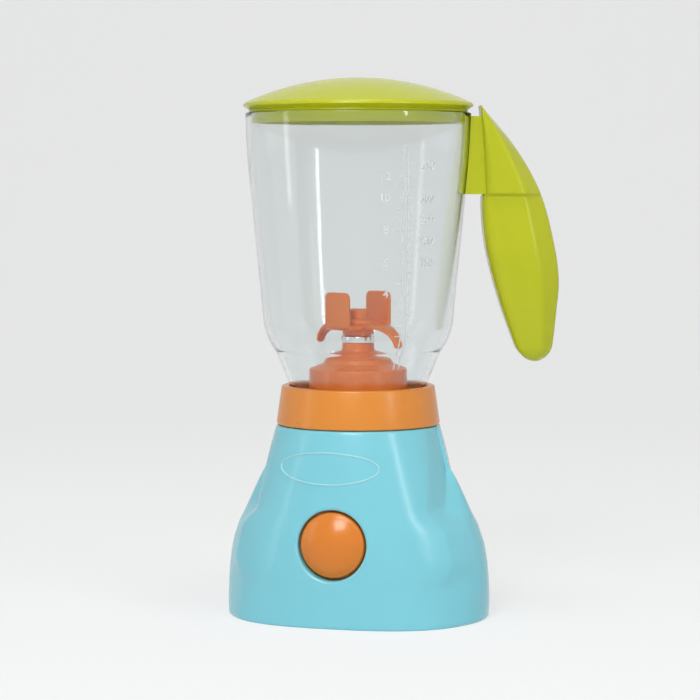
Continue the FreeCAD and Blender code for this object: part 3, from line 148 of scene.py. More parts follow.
def pattern_scale(size_mm: float) -> float:
    """The scale of a noise whose lumps are about one size across: one over the size in metres."""
    return 1.0 / (size_mm * MM)


@dataclass(frozen=True)
class MouldedPlastic:
    """Moulded plastic, and what looks like it: an even colour, a soft gloss and a faint grain.

    The gloss wanders a little over the surface, and slow sink marks bend the highlights. The grain
    is drawn coarser than a real one, which is too fine to show.
    """
    name: str
    colour: str
    roughness: float = 0.24
    roughness_spread: float = 0.04
    grain_mm: float = 0.8
    grain_height_mm: float = 0.006
    sink_mm: float = 26.0
    sink_height_mm: float = 0.05
    mottle: float = 0.02
    mottle_mm: float = 14.0
    translucency: float = 0.0
    sheen: float = 0.5

    def material(self) -> bpy.types.Material:
        """Builds the material.

        Returns:
            The material.
        """
        material = new_material(self.name)
        tree = material.node_tree
        place = add_node(tree, "ShaderNodeTexCoord").outputs["Object"]
        mottle, wander, sinks, specks = (
            add_node(tree, "ShaderNodeTexNoise", {"Scale": pattern_scale(size), "Detail": detail},
                     {"Vector": place}).outputs["Fac"]
            for size, detail in ((self.mottle_mm, 3.0), (2.0 * self.mottle_mm, 2.0),
                                 (self.sink_mm, 0.0), (self.grain_mm, 2.0)))
        colour = add_node(tree, "ShaderNodeMix", {
            "data_type": "RGBA",
            6: scaled(self.colour, 1.0 - self.mottle),
            7: scaled(self.colour, 1.0 + self.mottle)}, {0: mottle})
        gloss = add_node(tree, "ShaderNodeMapRange", {
            "To Min": self.roughness - self.roughness_spread,
            "To Max": self.roughness + self.roughness_spread},
            {"Value": wander})
        sink = add_node(tree, "ShaderNodeBump", {"Strength": 1.0, "Distance": self.sink_height_mm * MM},
                        {"Height": sinks})
        grain = add_node(tree, "ShaderNodeBump", {"Strength": 1.0, "Distance": self.grain_height_mm * MM},
                         {"Height": specks, "Normal": sink.outputs["Normal"]})
        shader = add_node(tree, "ShaderNodeBsdfPrincipled", {
            "IOR": 1.54, "Specular IOR Level": self.sheen,
            "Subsurface Weight": self.translucency, "Subsurface Scale": 2.0 * MM,
            "Subsurface Radius": (1.0, 0.8, 0.6)},
            {"Base Color": colour.outputs[2], "Roughness": gloss.outputs["Result"],
             "Normal": grain.outputs["Normal"]})
        add_node(tree, "ShaderNodeOutputMaterial", {}, {"Surface": shader.outputs["BSDF"]})
        return material


@dataclass(frozen=True)
class ClearPlastic:
    """Moulded clear plastic: slightly grey, glossy, with slow waves that bend what is seen through it.

    Lamp light and soft light pass straight through it, so that what stands inside isn't left dark.
    """
    name: str
    colour: str = "#F1F4F4"
    roughness: float = 0.03
    wave_mm: float = 16.0
    wave_height_mm: float = 0.05
    scuff_mm: float = 5.0
    transmission: float = 1.0
    sheen: float = 0.3
    passed: str = "#F2F4F4"

    def material(self) -> bpy.types.Material:
        """Builds the material.

        Returns:
            The material.
        """
        material = new_material(self.name)
        tree = material.node_tree
        place = add_node(tree, "ShaderNodeTexCoord").outputs["Object"]
        scuffs, waves = (
            add_node(tree, "ShaderNodeTexNoise", {"Scale": pattern_scale(size), "Detail": detail},
                     {"Vector": place}).outputs["Fac"]
            for size, detail in ((self.scuff_mm, 4.0), (self.wave_mm, 1.0)))
        gloss = add_node(tree, "ShaderNodeMapRange", {
            "From Min": 0.35, "From Max": 0.75, "To Min": self.roughness, "To Max": self.roughness + 0.04},
            {"Value": scuffs})
        wave = add_node(tree, "ShaderNodeBump", {"Strength": 1.0, "Distance": self.wave_height_mm * MM},
                        {"Height": waves})
        shader = add_node(tree, "ShaderNodeBsdfPrincipled", {
            "Base Color": linear(self.colour), "IOR": 1.49, "Specular IOR Level": self.sheen,
            "Transmission Weight": self.transmission},
            {"Roughness": gloss.outputs["Result"], "Normal": wave.outputs["Normal"]})
        passed = add_node(tree, "ShaderNodeBsdfTransparent", {"Color": linear(self.passed)})
        path = add_node(tree, "ShaderNodeLightPath")
        soft = add_node(tree, "ShaderNodeMath", {"operation": "MAXIMUM"}, {
            0: path.outputs["Is Shadow Ray"], 1: path.outputs["Is Diffuse Ray"]})
        mix = add_node(tree, "ShaderNodeMixShader", {}, {
            0: soft.outputs["Value"], 1: shader.outputs["BSDF"], 2: passed.outputs["BSDF"]})
        add_node(tree, "ShaderNodeOutputMaterial", {}, {"Surface": mix.outputs["Shader"]})
        return material


@dataclass(frozen=True)
class Metal:
    """Drawn, turned or plated metal: bright, with fine lines or specks that spread its highlights.

    They are drawn coarser than real ones, which are too fine to show.
    """
    name: str
    colour: str
    roughness: float
    grain_mm: float = 0.5
    stretch: float = 1.0
    grain_height_mm: float = 0.004

    def material(self) -> bpy.types.Material:
        """Builds the material, its grain stretched along Z by the finish's own factor.

        Returns:
            The material.
        """
        material = new_material(self.name)
        tree = material.node_tree
        place = add_node(tree, "ShaderNodeTexCoord").outputs["Object"]
        lay = add_node(tree, "ShaderNodeMapping", {"Scale": (1.0, 1.0, 1.0 / self.stretch)},
                       {"Vector": place})
        lines = add_node(tree, "ShaderNodeTexNoise",
                         {"Scale": pattern_scale(self.grain_mm), "Detail": 3.0},
                         {"Vector": lay.outputs["Vector"]}).outputs["Fac"]
        gloss = add_node(tree, "ShaderNodeMapRange", {
            "To Min": self.roughness * 0.75, "To Max": self.roughness * 1.3}, {"Value": lines})
        grain = add_node(tree, "ShaderNodeBump", {"Strength": 1.0, "Distance": self.grain_height_mm * MM},
                         {"Height": lines})
        shader = add_node(tree, "ShaderNodeBsdfPrincipled", {
            "Base Color": linear(self.colour), "Metallic": 1.0},
            {"Roughness": gloss.outputs["Result"], "Normal": grain.outputs["Normal"]})
        add_node(tree, "ShaderNodeOutputMaterial", {}, {"Surface": shader.outputs["BSDF"]})
        return material


Finish = MouldedPlastic | ClearPlastic | Metal

# Moulded ABS: even toy colours with soft highlights.
BASE_ABS = MouldedPlastic("moulded_abs_turquoise", "#7FD0DE", roughness=0.22)
BEAD_ABS = MouldedPlastic("moulded_abs_pale_turquoise", "#A9DFE6", roughness=0.24)
ORANGE_ABS = MouldedPlastic("moulded_abs_orange", "#E58C2C", roughness=0.28)
BUTTON_ABS = MouldedPlastic("moulded_abs_button_orange", "#E27F18", roughness=0.22)
BLADE_ABS = MouldedPlastic("moulded_abs_blade_orange", "#F88028", roughness=0.28, sheen=0.4)
# Moulded polypropylene: a little waxy, because some light goes into it.
LIME_PP = MouldedPlastic("moulded_polypropylene_lime", "#BCC214", roughness=0.22, translucency=0.05,
                         sheen=0.32)
# Moulded acetal: milky white, with dull highlights.
WHITE_POM = MouldedPlastic("moulded_acetal_white", "#ECEAE2", roughness=0.38, translucency=0.05)
# The inner parts' plastic, paper, laminate and film: muted, and told apart by gloss and grain.
BLACK_ABS = MouldedPlastic("moulded_abs_black", "#1E1F21", roughness=0.42, grain_mm=0.5)
SPEAKER_PAPER = MouldedPlastic("pressed_paper_cone_black", "#242426", roughness=0.75, grain_mm=0.4,
                               grain_height_mm=0.05)
BOARD_LAMINATE = MouldedPlastic("phenolic_board_green", "#2C6E45", roughness=0.38, grain_mm=0.35)
CELL_JACKET = MouldedPlastic("shrunk_film_cell_jacket", "#5C6670", roughness=0.25, grain_mm=3.0)
# Clear parts: glossy on the jar and the lamp, and frosted on the scale, so that its marks show.
LAMP_EPOXY = ClearPlastic("cast_epoxy_lamp", colour="#F4F2EA", roughness=0.06)
JAR_STYRENE = ClearPlastic("moulded_clear_styrene")
SCALE_STYRENE = ClearPlastic("moulded_frosted_styrene", colour="#FFFFFF", roughness=0.38, wave_height_mm=0.0,
                             transmission=0.6)
# Metals: close to a mirror where chromed or ground, and softer where drawn or plated otherwise.
BRIGHT_PLATE = Metal("chromed_steel_ring", "#E8E9EB", roughness=0.10, grain_mm=0.6, stretch=0.2)
CONTACT_STEEL = Metal("nickel_plated_spring_strip", "#D6D3CC", roughness=0.24)
SCREW_STEEL = Metal("zinc_plated_screw_steel", "#C4C6C8", roughness=0.30)
MOTOR_STEEL = Metal("drawn_motor_steel", "#B9BCC0", roughness=0.28, grain_mm=0.4, stretch=8.0)
SHAFT_STEEL = Metal("ground_shaft_steel", "#CDCFD2", roughness=0.16, grain_mm=0.25, stretch=0.2)

CAD_FINISHES = {
    "bottom_cover": BASE_ABS,
    "battery_door": BASE_ABS,
    "cover_screws": SCREW_STEEL,
    "door_screw": SCREW_STEEL,
    "battery_cells": CELL_JACKET,
    "battery_contacts": CONTACT_STEEL,
    "speaker": SPEAKER_PAPER,
    "button_spring": CONTACT_STEEL,
    "switch_board": BOARD_LAMINATE,
    "board_screws": SCREW_STEEL,
    "press_switch": BLACK_ABS,
    "board_components": BLACK_ABS,
    "led_lamp": LAMP_EPOXY,
    "gearbox_frame": WHITE_POM,
    "frame_screws": SCREW_STEEL,
    "motor_can": MOTOR_STEEL,
    "motor_end_cap": WHITE_POM,
    "motor_retainer": WHITE_POM,
    "retainer_screws": SCREW_STEEL,
    "motor_shaft": SHAFT_STEEL,
    "motor_pinion": WHITE_POM,
    "drive_gear": WHITE_POM,
    "drive_shaft": SHAFT_STEEL,
    "drive_bush": WHITE_POM,
    "drive_coupling": ORANGE_ABS,
    "seat_screws": SCREW_STEEL,
    "blade_bush": WHITE_POM,
    "blade_shaft": SHAFT_STEEL,
    "driven_coupling": WHITE_POM,
    "shaft_washer": CONTACT_STEEL,
    "handle_screws": SCREW_STEEL,
}


# ---------------------------------------------------------------- surfaces


def smooth_step(value: Array, start: float, end: float) -> Array:
    """Rises from 0 at start to 1 at end, level at both: three squares less two cubes."""
    share = np.clip((value - start) / (end - start), 0.0, 1.0)
    return share * share * (3.0 - 2.0 * share)


def line_length(line: Array) -> Array:
    """Distance along a line at each of its points."""
    return np.concatenate([[0.0], np.cumsum(np.linalg.norm(np.diff(line, axis=0), axis=1))])


def signed_power(value: Array, power: float) -> Array:
    """A value's size to a power, with the value's own sign."""
    return np.sign(value) * np.abs(value) ** power


def rounded(corners: list[tuple[float, float, float]], steps: int = 6) -> Array:
    """Rounds the corners of a closed line with arcs tangent to both their sides.

    With u and v the unit directions from a corner to its neighbours and h half the angle between
    them, the arc's centre lies at radius / sin h along their bisector, and the arc runs from the
    foot of that centre on one side to its foot on the other.

    Args:
        corners: Points of the line as (x, z, radius).
        steps: Points on each arc.

    Returns:
        The rounded line's points, (steps x corners, 2).
    """
    table = np.array(corners, float)
    point, radius = table[:, :2], table[:, 2:]
    back = np.roll(point, 1, axis=0) - point
    ahead = np.roll(point, -1, axis=0) - point
    back /= np.linalg.norm(back, axis=1, keepdims=True)
    ahead /= np.linalg.norm(ahead, axis=1, keepdims=True)
    both = np.sum(back * ahead, axis=1, keepdims=True)
    sine = np.sqrt(np.maximum((1 - both) / 2, 1e-12))
    cosine = np.sqrt(np.maximum((1 + both) / 2, 1e-12))
    inward = (back + ahead) / (2 * sine * cosine)
    start = back * cosine / sine - inward
    end = ahead * cosine / sine - inward
    sweep = np.maximum(np.pi - 2 * np.arcsin(np.clip(sine, 0, 1)), 1e-4)[:, None, :]
    share = np.linspace(0, 1, steps)[None, :, None]
    arc = (np.sin((1 - share) * sweep) * start[:, None]
           + np.sin(share * sweep) * end[:, None]) / np.sin(sweep)
    return (point[:, None] + radius[:, None] * (inward[:, None] + arc)).reshape(-1, 2)


def arc_through(first: tuple[float, float], middle: tuple[float, float], last: tuple[float, float],
                steps: int = 24) -> Array:
    """Points of the circle's arc that runs from one point through a second to a third.

    Args:
        first: Start of the arc.
        middle: Any point of the arc between its ends.
        last: End of the arc.
        steps: Number of points.

    Returns:
        The points, (steps, 2).
    """
    a, b, c = (np.array(p, float) for p in (first, middle, last))
    sides = np.array([b - a, c - a])
    centre = a + np.linalg.solve(sides, np.sum(sides ** 2, axis=1) / 2)
    arms = np.array([a, b, c]) - centre
    angles = np.unwrap(np.arctan2(arms[:, 1], arms[:, 0]))
    turn = np.linspace(angles[0], angles[2], steps)
    radius = np.linalg.norm(a - centre)
    return centre + radius * np.stack([np.cos(turn), np.sin(turn)], axis=1)


def through(knots: Knots, at: Array) -> Array:
    """A smooth line through knots (place, value), read at many places.

    Between two knots the value follows a cubic whose slopes at the knots are the slopes of the
    straight lines to their neighbours, averaged.

    Args:
        knots: Places and values, with the places rising.
        at: Places to read.

    Returns:
        The values there.
    """
    place, value = np.array(knots, float).T
    slope = np.gradient(value, place)
    index = np.clip(np.searchsorted(place, at) - 1, 0, len(place) - 2)
    span = place[index + 1] - place[index]
    t = (at - place[index]) / span
    return ((2 * t ** 3 - 3 * t ** 2 + 1) * value[index] + (t ** 3 - 2 * t ** 2 + t) * span * slope[index]
            + (3 * t ** 2 - 2 * t ** 3) * value[index + 1] + (t ** 3 - t ** 2) * span * slope[index + 1])


@dataclass
class Skin:
    """A surface as a grid of points in millimetres, (rows, columns, 3).

    Rows and columns may each close into a ring, and a window of faces may be left out.
    """
    points: Array
    rows_closed: bool = False
    columns_closed: bool = True
    windows: list[tuple[slice, slice]] = field(default_factory=list)

    def faces(self) -> Array:
        """Joins neighbouring points of the grid into four-sided faces.

        Returns:
            The faces' corner numbers, (faces, 4).
        """
        rows, columns = self.points.shape[:2]
        row = np.arange(rows if self.rows_closed else rows - 1)
        column = np.arange(columns if self.columns_closed else columns - 1)
        keep = np.ones((len(row), len(column)), bool)
        for row_range, column_range in self.windows:
            keep[row_range, column_range] = False
        row, column = (part[keep] for part in np.meshgrid(row, column, indexing="ij"))
        next_row, next_column = (row + 1) % rows, (column + 1) % columns
        return np.stack([row * columns + column, row * columns + next_column,
                         next_row * columns + next_column, next_row * columns + column], axis=1)


def turned(line: Array, columns: int = 128) -> Skin:
    """Turns a closed line about the Z axis: (r cos t, r sin t, z).

    Args:
        line: The line's points as (radius, height).
        columns: Number of places round the axis.

    Returns:
        The skin, closed both ways.
    """
    turn = np.linspace(0, 2 * np.pi, columns, endpoint=False)
    radius, height = line[:, :1], line[:, 1:]
    return Skin(np.stack([radius * np.cos(turn), radius * np.sin(turn), height + 0 * turn], axis=-1),
                rows_closed=True)


def capped(rings: Array) -> Skin:
    """Closes rings of points at both ends by a face fan round each end ring's middle.

    Args:
        rings: The rings' points, (rings, points, 3).

    Returns:
        The closed skin.
    """
    first = np.broadcast_to(rings[0].mean(axis=0), rings[0].shape)
    last = np.broadcast_to(rings[-1].mean(axis=0), rings[-1].shape)
    return Skin(np.concatenate([first[None], rings, last[None]]))


def tube_skin(outer: float, inner: float, bottom: float, top: float, x: float, y: float) -> Skin:
    """An upright tube with lightly rounded ends.

    Args:
        outer: Outer radius.
        inner: Inner radius.
        bottom: Height of its lower end.
        top: Height of its upper end.
        x: X of its axis.
        y: Y of its axis.

    Returns:
        The tube's skin.
    """
    edge = 0.2
    line = rounded([(outer, bottom, edge), (outer, top, edge), (inner, top, edge),
                    (inner, bottom, edge)], 3)
    skin = turned(line, 32)
    skin.points = skin.points + np.array([x, y, 0.0])
    return skin


def turned_about_z(points: Array, degrees: float) -> Array:
    """Turns points about the Z axis.

    Args:
        points: The points, with their coordinates last.
        degrees: The angle, anticlockwise seen from above.

    Returns:
        The turned points.
    """
    angle = np.radians(degrees)
    turn = np.array([[np.cos(angle), -np.sin(angle), 0], [np.sin(angle), np.cos(angle), 0], [0, 0, 1]])
    return points @ turn.T


class Workshop:
    """Turns skins into finished pieces of the scene, and keeps each finish's material once."""

    def __init__(self) -> None:
        """Starts with no materials."""
        self.materials: dict[str, bpy.types.Material] = {}

    def material(self, finish: Finish) -> bpy.types.Material:
        """The finish's material, built when first asked for."""
        if finish.name not in self.materials:
            self.materials[finish.name] = finish.material()
        return self.materials[finish.name]

    @staticmethod
    def mesh(name: str, skins: list[Skin], crease: float) -> bpy.types.Mesh:
        """Joins skins into one mesh in metres, welds it and turns its faces outwards.

        Args:
            name: The mesh's name.
            skins: Closed skins, or open ones that close each other.
            crease: Edges bent by more than these degrees stay sharp.

        Returns:
            The mesh.
        """
        starts = np.cumsum([0] + [skin.points[..., 0].size for skin in skins[:-1]])
        points = np.concatenate([skin.points.reshape(-1, 3) for skin in skins]) * MM
        faces = np.concatenate([skin.faces() + start for skin, start in zip(skins, starts)])
        mesh = bpy.data.meshes.new(name)
        mesh.from_pydata(points.tolist(), [], faces.tolist())
        work = bmesh.new()
        work.from_mesh(mesh)
        bmesh.ops.remove_doubles(work, verts=work.verts, dist=WELD)
        bmesh.ops.recalc_face_normals(work, faces=work.faces)
        work.to_mesh(mesh)
        work.free()
        mesh.shade_smooth()
        mesh.set_sharp_from_angle(angle=float(np.radians(crease)))
        return mesh

    def piece(self, name: str, skins: list[Skin], finish: Finish, body: Body, slot: Slot,
              replaces: tuple[str, ...] = (), crease: float = 32.0) -> None:
        """Makes a piece that rides on a body.

        Args:
            name: The piece's name.
            skins: What its mesh is joined from.
            finish: Its finish.
            body: The body it rides on.
            slot: The record's material slot, handed on to place, which doesn't use it.
            replaces: The CAD nodes that it stands for.
            crease: Edges bent by more than these degrees stay sharp.
        """
        item = bpy.data.objects.new(name, self.mesh(name, skins, crease))
        self.place(item, finish, body, slot, replaces)

    def place(self, item: bpy.types.Object, finish: Finish, body: Body, slot: Slot,
              replaces: tuple[str, ...] = ()) -> None:
        """Gives an object its finish and its body, and hides the nodes that it stands for.

        Args:
            item: The object, not yet in the scene.
            finish: Its finish.
            body: The body it rides on.
            slot: The record's material slot. Not used.
            replaces: The CAD nodes that it stands for.
        """
        item.data.materials.clear()
        item.data.materials.append(self.material(finish))
        bpy.context.scene.collection.objects.link(item)
        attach(item, body.value)
        if replaces:
            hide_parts(*replaces)
        LOG.info("%s: %d faces, %s", item.name, len(item.data.polygons), finish.name)


# ---------------------------------------------------------------- base


@dataclass
class Base:
    """The turquoise shell: a squircle below that becomes a circle above, with a worked band on each side.

    Above its shoulders a band is a shallow flute round a petal-shaped haunch, and below them the
    haunch stands between two aprons.
    """
    seat_z: float = 90.5
    seat_radius: float = 38.7
    half_width: float = 59.5
    half_depth: float = 47.5
    squareness: float = 2.6
    side_bulge: float = 0.5
    front_bulge: float = 2.3
    wall: float = 2.4
    foot_edge: float = 1.2
    seat_edge: float = 1.0
    row_stops: tuple[float, ...] = (14.0, 62.0, 81.0)
    row_counts: tuple[int, ...] = (11, 64, 44, 12)
    inner_top_gap: float = 0.6
    band_top_half_width: float = 13.0
    band_shoulder_half_width: float = 28.0
    band_low_half_width: float = 24.5
    band_foot_half_width: float = 30.0
    shoulder_z: float = 54.0
    shoulder_length: float = 11.0
    foot_z: float = 17.0
    foot_length: float = 14.0
    flute_depth_top: float = 0.8
    flute_depth: float = 2.2
    flute_slope_width: float = 12.0
    apron_proud: float = 3.2
    apron_swell: float = 8.0
    haunch_apex_z: float = 71.5
    haunch_proud: float = 7.1
    haunch_foot_proud: float = 3.0
    haunch_widest: float = 0.5
    haunch_crown: float = 0.7
    haunch_spread: float = 0.85
    neck_bottom_radius: float = 35.6
    neck_top_radius: float = 34.6
    neck_top_z: float = 101.8
    neck_edge: float = 2.0
    roof: float = 2.4
    bush_radius: float = 4.02
    button_z: float = 38.4
    hole_radius: float = 16.3
    hole_lip: float = 1.3
    well_outer_radius: float = 20.2
    well_back_y: float = -40.4
    pilot_radius: float = 1.17
    cover_post_radius: float = 3.6
    cover_post_bottom_z: float = 2.9
    cover_post_x: float = 46.0
    cover_post_y: float = 17.0
    frame_post_radius: float = 3.2
    frame_post_bottom_z: float = 84.3
    frame_post_top_z: float = 99.6
    frame_post_ring: float = 22.5
    frame_post_angles: tuple[float, ...] = (-90, 28, 152)
    plaque_x: float = -3.5
    plaque_z: float = 73.4
    plaque_half_width: float = 24.1
    plaque_half_height: float = 7.2
    plaque_bead: float = 0.42
    band_columns: int = 36
    panel_columns: int = 58
    window_half_height: float = 22.0
    window_half_columns: int = 40

    def haunch(self, z: Array) -> Array:
        """How far the haunch's middle stands out: it rises below its apex and sinks to its foot.

        Args:
            z: Height.

        Returns:
            The distance outwards: a power of the drop below the apex as far as the widest
            place, and from there a square of the drop less.
        """
        drop = np.clip((self.haunch_apex_z - z) / self.haunch_apex_z, 0.0, 1.0)
        fall = np.clip((drop - self.haunch_widest) / (1 - self.haunch_widest), 0.0, 1.0)
        return np.where(drop < self.haunch_widest,
                        self.haunch_proud * (drop / self.haunch_widest) ** self.haunch_crown,
                        self.haunch_proud - (self.haunch_proud - self.haunch_foot_proud) * fall ** 2)

    def below_shoulder(self, z: Array) -> Array:
        """0 above the shoulders and 1 below them."""
        return smooth_step(self.shoulder_z - z, 0.0, self.shoulder_length)

    def above_foot(self, z: Array) -> Array:
        """0 at the foot and 1 where the aprons have their full edges."""
        return smooth_step(z - self.foot_z, 0.0, self.foot_length)

    def spread(self, z: Array) -> Array:
        """0 at the seat and 1 from the shoulders down."""
        return (self.seat_z - np.maximum(z, self.shoulder_z)) / (self.seat_z - self.shoulder_z)

    def band(self, z: Array) -> Array:
        """Half the width of a side's band.

        Args:
            z: Height.

        Returns:
            The half width, blended at the shoulders from the line above them to the one below.
        """
        above = self.band_top_half_width + (
            self.band_shoulder_half_width - self.band_top_half_width) * self.spread(z)
        below = self.band_foot_half_width + (
            self.band_low_half_width - self.band_foot_half_width) * self.above_foot(z)
        return above + (below - above) * self.below_shoulder(z)

    def relief(self, z: Array, across: Array) -> Array:
        """How far the surface stands out of the plain body.

        Args:
            z: Height.
            across: Distance from the side's middle plane, without sign.

        Returns:
            The apron outside the band, and inside it the flute's floor with the haunch on it.
        """
        below = self.below_shoulder(z)
        band = self.band(z)
        apron = self.apron_proud * below * self.above_foot(z)
        inside = band - across
        depth = self.flute_depth_top + (self.flute_depth - self.flute_depth_top) * self.spread(z)
        flute = depth * (1 - below)
        floor = apron - flute * np.sin(np.pi / 2 * np.clip(inside / self.flute_slope_width, 0.0, 1.0))
        petal_half = np.maximum(np.minimum(band, self.haunch_spread * (self.haunch_apex_z - z)), 1e-3)
        petal = np.cos(np.pi / 2 * np.clip(across / petal_half, 0.0, 1.0)) ** 2
        worked = floor + (self.haunch(z) - floor) * petal
        return np.where(inside < 0, apron * np.exp(np.minimum(inside, 0.0) / self.apron_swell), worked)

    def plain_radius(self, angle: Array, z: Array) -> Array:
        """The plain body's distance from the axis.

        The outline is a squircle |x/a|^n + |y/b|^n = 1, whose n falls from the squareness at the
        foot to 2 at the seat.

        Args:
            angle: Direction from +X in radians.
            z: Height.

        Returns:
            The radius.
        """
        drop = 1 - np.clip(z, 0.0, self.seat_z) / self.seat_z
        line = (1 - self.side_bulge) * drop + self.side_bulge * np.sin(np.pi / 2 * drop)
        half_width = self.seat_radius + (self.half_width - self.seat_radius) * line
        half_depth = self.seat_radius + (self.half_depth - self.seat_radius) * (
            1 - (1 - drop) ** self.front_bulge)
        power = 2 + (self.squareness - 2) * drop
        return (np.abs(np.cos(angle) / half_width) ** power
                + np.abs(np.sin(angle) / half_depth) ** power) ** (-1 / power)

    def radius(self, angle: Array, z: Array) -> Array:
        """The outer surface's distance from the axis, with the sides' relief.

        Args:
            angle: Direction from +X in radians.
            z: Height.

        Returns:
            The radius, in the shape of both.
        """
        height = np.clip(z, 0.0, self.seat_z)
        radius = self.plain_radius(angle, height)
        return radius + self.relief(height, np.abs(radius * np.sin(angle)))

    def column_angles(self, z: Array) -> Array:
        """Directions of the shell's columns, of which one runs along each edge of both bands.

        Args:
            z: Heights of the rows, (rows, 1).

        Returns:
            Angles from -pi, rising, (rows, columns). The edge's own angle is found by halving.
        """
        low, high = np.zeros_like(z), np.full_like(z, np.pi / 2)
        for _ in range(40):
            middle = (low + high) / 2
            short = self.plain_radius(middle, z) * np.sin(middle) < self.band(z)
            low, high = np.where(short, middle, low), np.where(short, high, middle)
        quarter = np.concatenate([
            low * np.linspace(0, 1, self.band_columns, endpoint=False),
            low + (np.pi / 2 - low) * np.linspace(0, 1, self.panel_columns, endpoint=False)], axis=1)
        back = np.concatenate([quarter[:, 1:], np.full_like(z, np.pi / 2)], axis=1)[:, ::-1]
        return np.concatenate([quarter - np.pi, -back, quarter, np.pi - back], axis=1)

    def surface(self, z: Array, inset: Array | float = 0.0) -> Array:
        """Points of the surface moved inwards along the outline's normal by the inset.

        Args:
            z: Heights of the rows, (rows, 1).
            inset: The move, for all rows or (rows, 1).

        Returns:
            The points, (rows, columns, 3).
        """
        step = 0.004
        angle = self.column_angles(z)
        radius = self.radius(angle, z)
        before, after = self.radius(angle - step, z), self.radius(angle + step, z)
        along = np.stack([after * np.cos(angle + step) - before * np.cos(angle - step),
                          after * np.sin(angle + step) - before * np.sin(angle - step)], axis=-1)
        along /= np.linalg.norm(along, axis=-1, keepdims=True)
        inset = np.asarray(inset, float)
        return np.stack([radius * np.cos(angle) - inset * along[..., 1],
                         radius * np.sin(angle) + inset * along[..., 0], z + 0 * angle], axis=-1)

    def front_depth(self, x: Array, z: Array, inset: float) -> Array:
        """The Y of the front surface at a place (x, z), closed in on by repeated trial.

        Args:
            x: The place's X.
            z: Its height.
            inset: How far towards the axis it is moved from the surface.

        Returns:
            The Y.
        """
        y = np.full_like(x, -self.half_depth)
        for _ in range(12):
            radius = self.radius(np.arctan2(y, x), z) - inset
            y = -np.sqrt(np.maximum(radius ** 2 - x ** 2, 0.0))
        return y

    def shell(self) -> list[Skin]:
        """The shell as one closed skin: up the outside, over the neck, down the inside, under the foot.

        Returns:
            The turned grid with a window left out at the button in both its walls, and the patch
            between those windows with the button's hole through it.
        """
        foot = np.linspace(0, np.pi / 2, 5)[:-1]
        foot_z = self.foot_edge * (1 - np.sin(foot))[::-1]
        foot_inset = (self.foot_edge * (1 - np.cos(foot)))[::-1]
        wall_top = self.seat_z - self.seat_edge
        stops = (self.foot_edge, *self.row_stops, wall_top)
        wall_z = np.concatenate([np.linspace(low, high, rows, endpoint=high == wall_top)
                                 for low, high, rows in zip(stops, stops[1:], self.row_counts)])
        seat_turn = np.linspace(0, np.pi / 2, 5)[1:]
        outer_z = np.concatenate([foot_z, wall_z, wall_top + self.seat_edge * np.sin(seat_turn)])[:, None]
        outer_inset = np.concatenate([foot_inset, 0 * wall_z,
                                      self.seat_edge * (1 - np.cos(seat_turn))])[:, None]
        outer = self.surface(outer_z, outer_inset)
        beside = wall_z[np.abs(wall_z - self.button_z) < self.window_half_height]
        inner_z = np.concatenate([np.linspace(self.foot_edge, beside[0], 5, endpoint=False), beside,
                                  np.linspace(beside[-1], self.seat_z - self.wall - self.inner_top_gap,
                                              9)[1:]])[::-1]
        inner = self.surface(inner_z[:, None], self.wall)
        inner_foot = self.surface(np.array([[0.0]]), self.wall)
        inside = self.neck_bottom_radius - self.wall
        under = self.neck_top_z - self.roof
        bend = ROUND_MIDDLE * self.neck_edge
        neck_line = np.concatenate([
            [(self.neck_bottom_radius + 0.3, self.seat_z), (self.neck_bottom_radius, self.seat_z + 0.3)],
            arc_through((self.neck_top_radius, self.neck_top_z - self.neck_edge),
                        (self.neck_top_radius - bend, self.neck_top_z - bend),
                        (self.neck_top_radius - self.neck_edge, self.neck_top_z), 7),
            [(self.bush_radius + 6, self.neck_top_z), (self.bush_radius, self.neck_top_z),
             (self.bush_radius, under), (inside - 1.5, under), (inside - 0.6, under - 0.4),
             (inside, self.seat_z), (inside, self.seat_z - self.wall)]])
        angle = self.column_angles(np.array([[self.seat_z]]))
        neck = np.stack([neck_line[:, :1] * np.cos(angle), neck_line[:, :1] * np.sin(angle),
                         neck_line[:, 1:] + 0 * angle], axis=-1)
        grid = np.concatenate([outer, neck, inner, inner_foot])
        front = self.band_columns + self.panel_columns
        low, high = front - self.window_half_columns, front + self.window_half_columns
        outer_rows = self.window_rows(outer_z[:, 0], 0)
        inner_rows = self.window_rows(inner_z, len(outer) + len(neck))
        shell = Skin(grid, rows_closed=True, windows=[(slice(*outer_rows), slice(low, high)),
                                                      (slice(*inner_rows), slice(low, high))])
        rim = self.window_ring(grid, outer_rows, low, high, False)
        back = self.window_ring(grid, inner_rows, low, high, True)
        return [shell, self.hole_patch(rim, back)]

    def window_rows(self, z: Array, start: int) -> tuple[int, int]:
        """First and last row of the window round the button, in a stretch of rows that has a start."""
        inside = np.flatnonzero(np.abs(z - self.button_z) < self.window_half_height)
        return int(inside[0]) + start, int(inside[-1]) + start

    @staticmethod
    def window_ring(grid: Array, rows: tuple[int, int], low: int, high: int, upward_last: bool) -> Array:
        """Points round a window's edge, in the same sense for the outer and the inner wall.

        Args:
            grid: The shell's points.
            rows: First and last row.
            low: First column.
            high: Last column.
            upward_last: True where the rows run downwards, so that the ring's sense stays.

        Returns:
            The ring's points.
        """
        bottom, top = (rows[1], rows[0]) if upward_last else rows
        step = 1 if top > bottom else -1
        return np.concatenate([grid[bottom, low:high], grid[bottom:top:step, high],
                               grid[top, high:low:-1], grid[top:bottom:-step, low]])

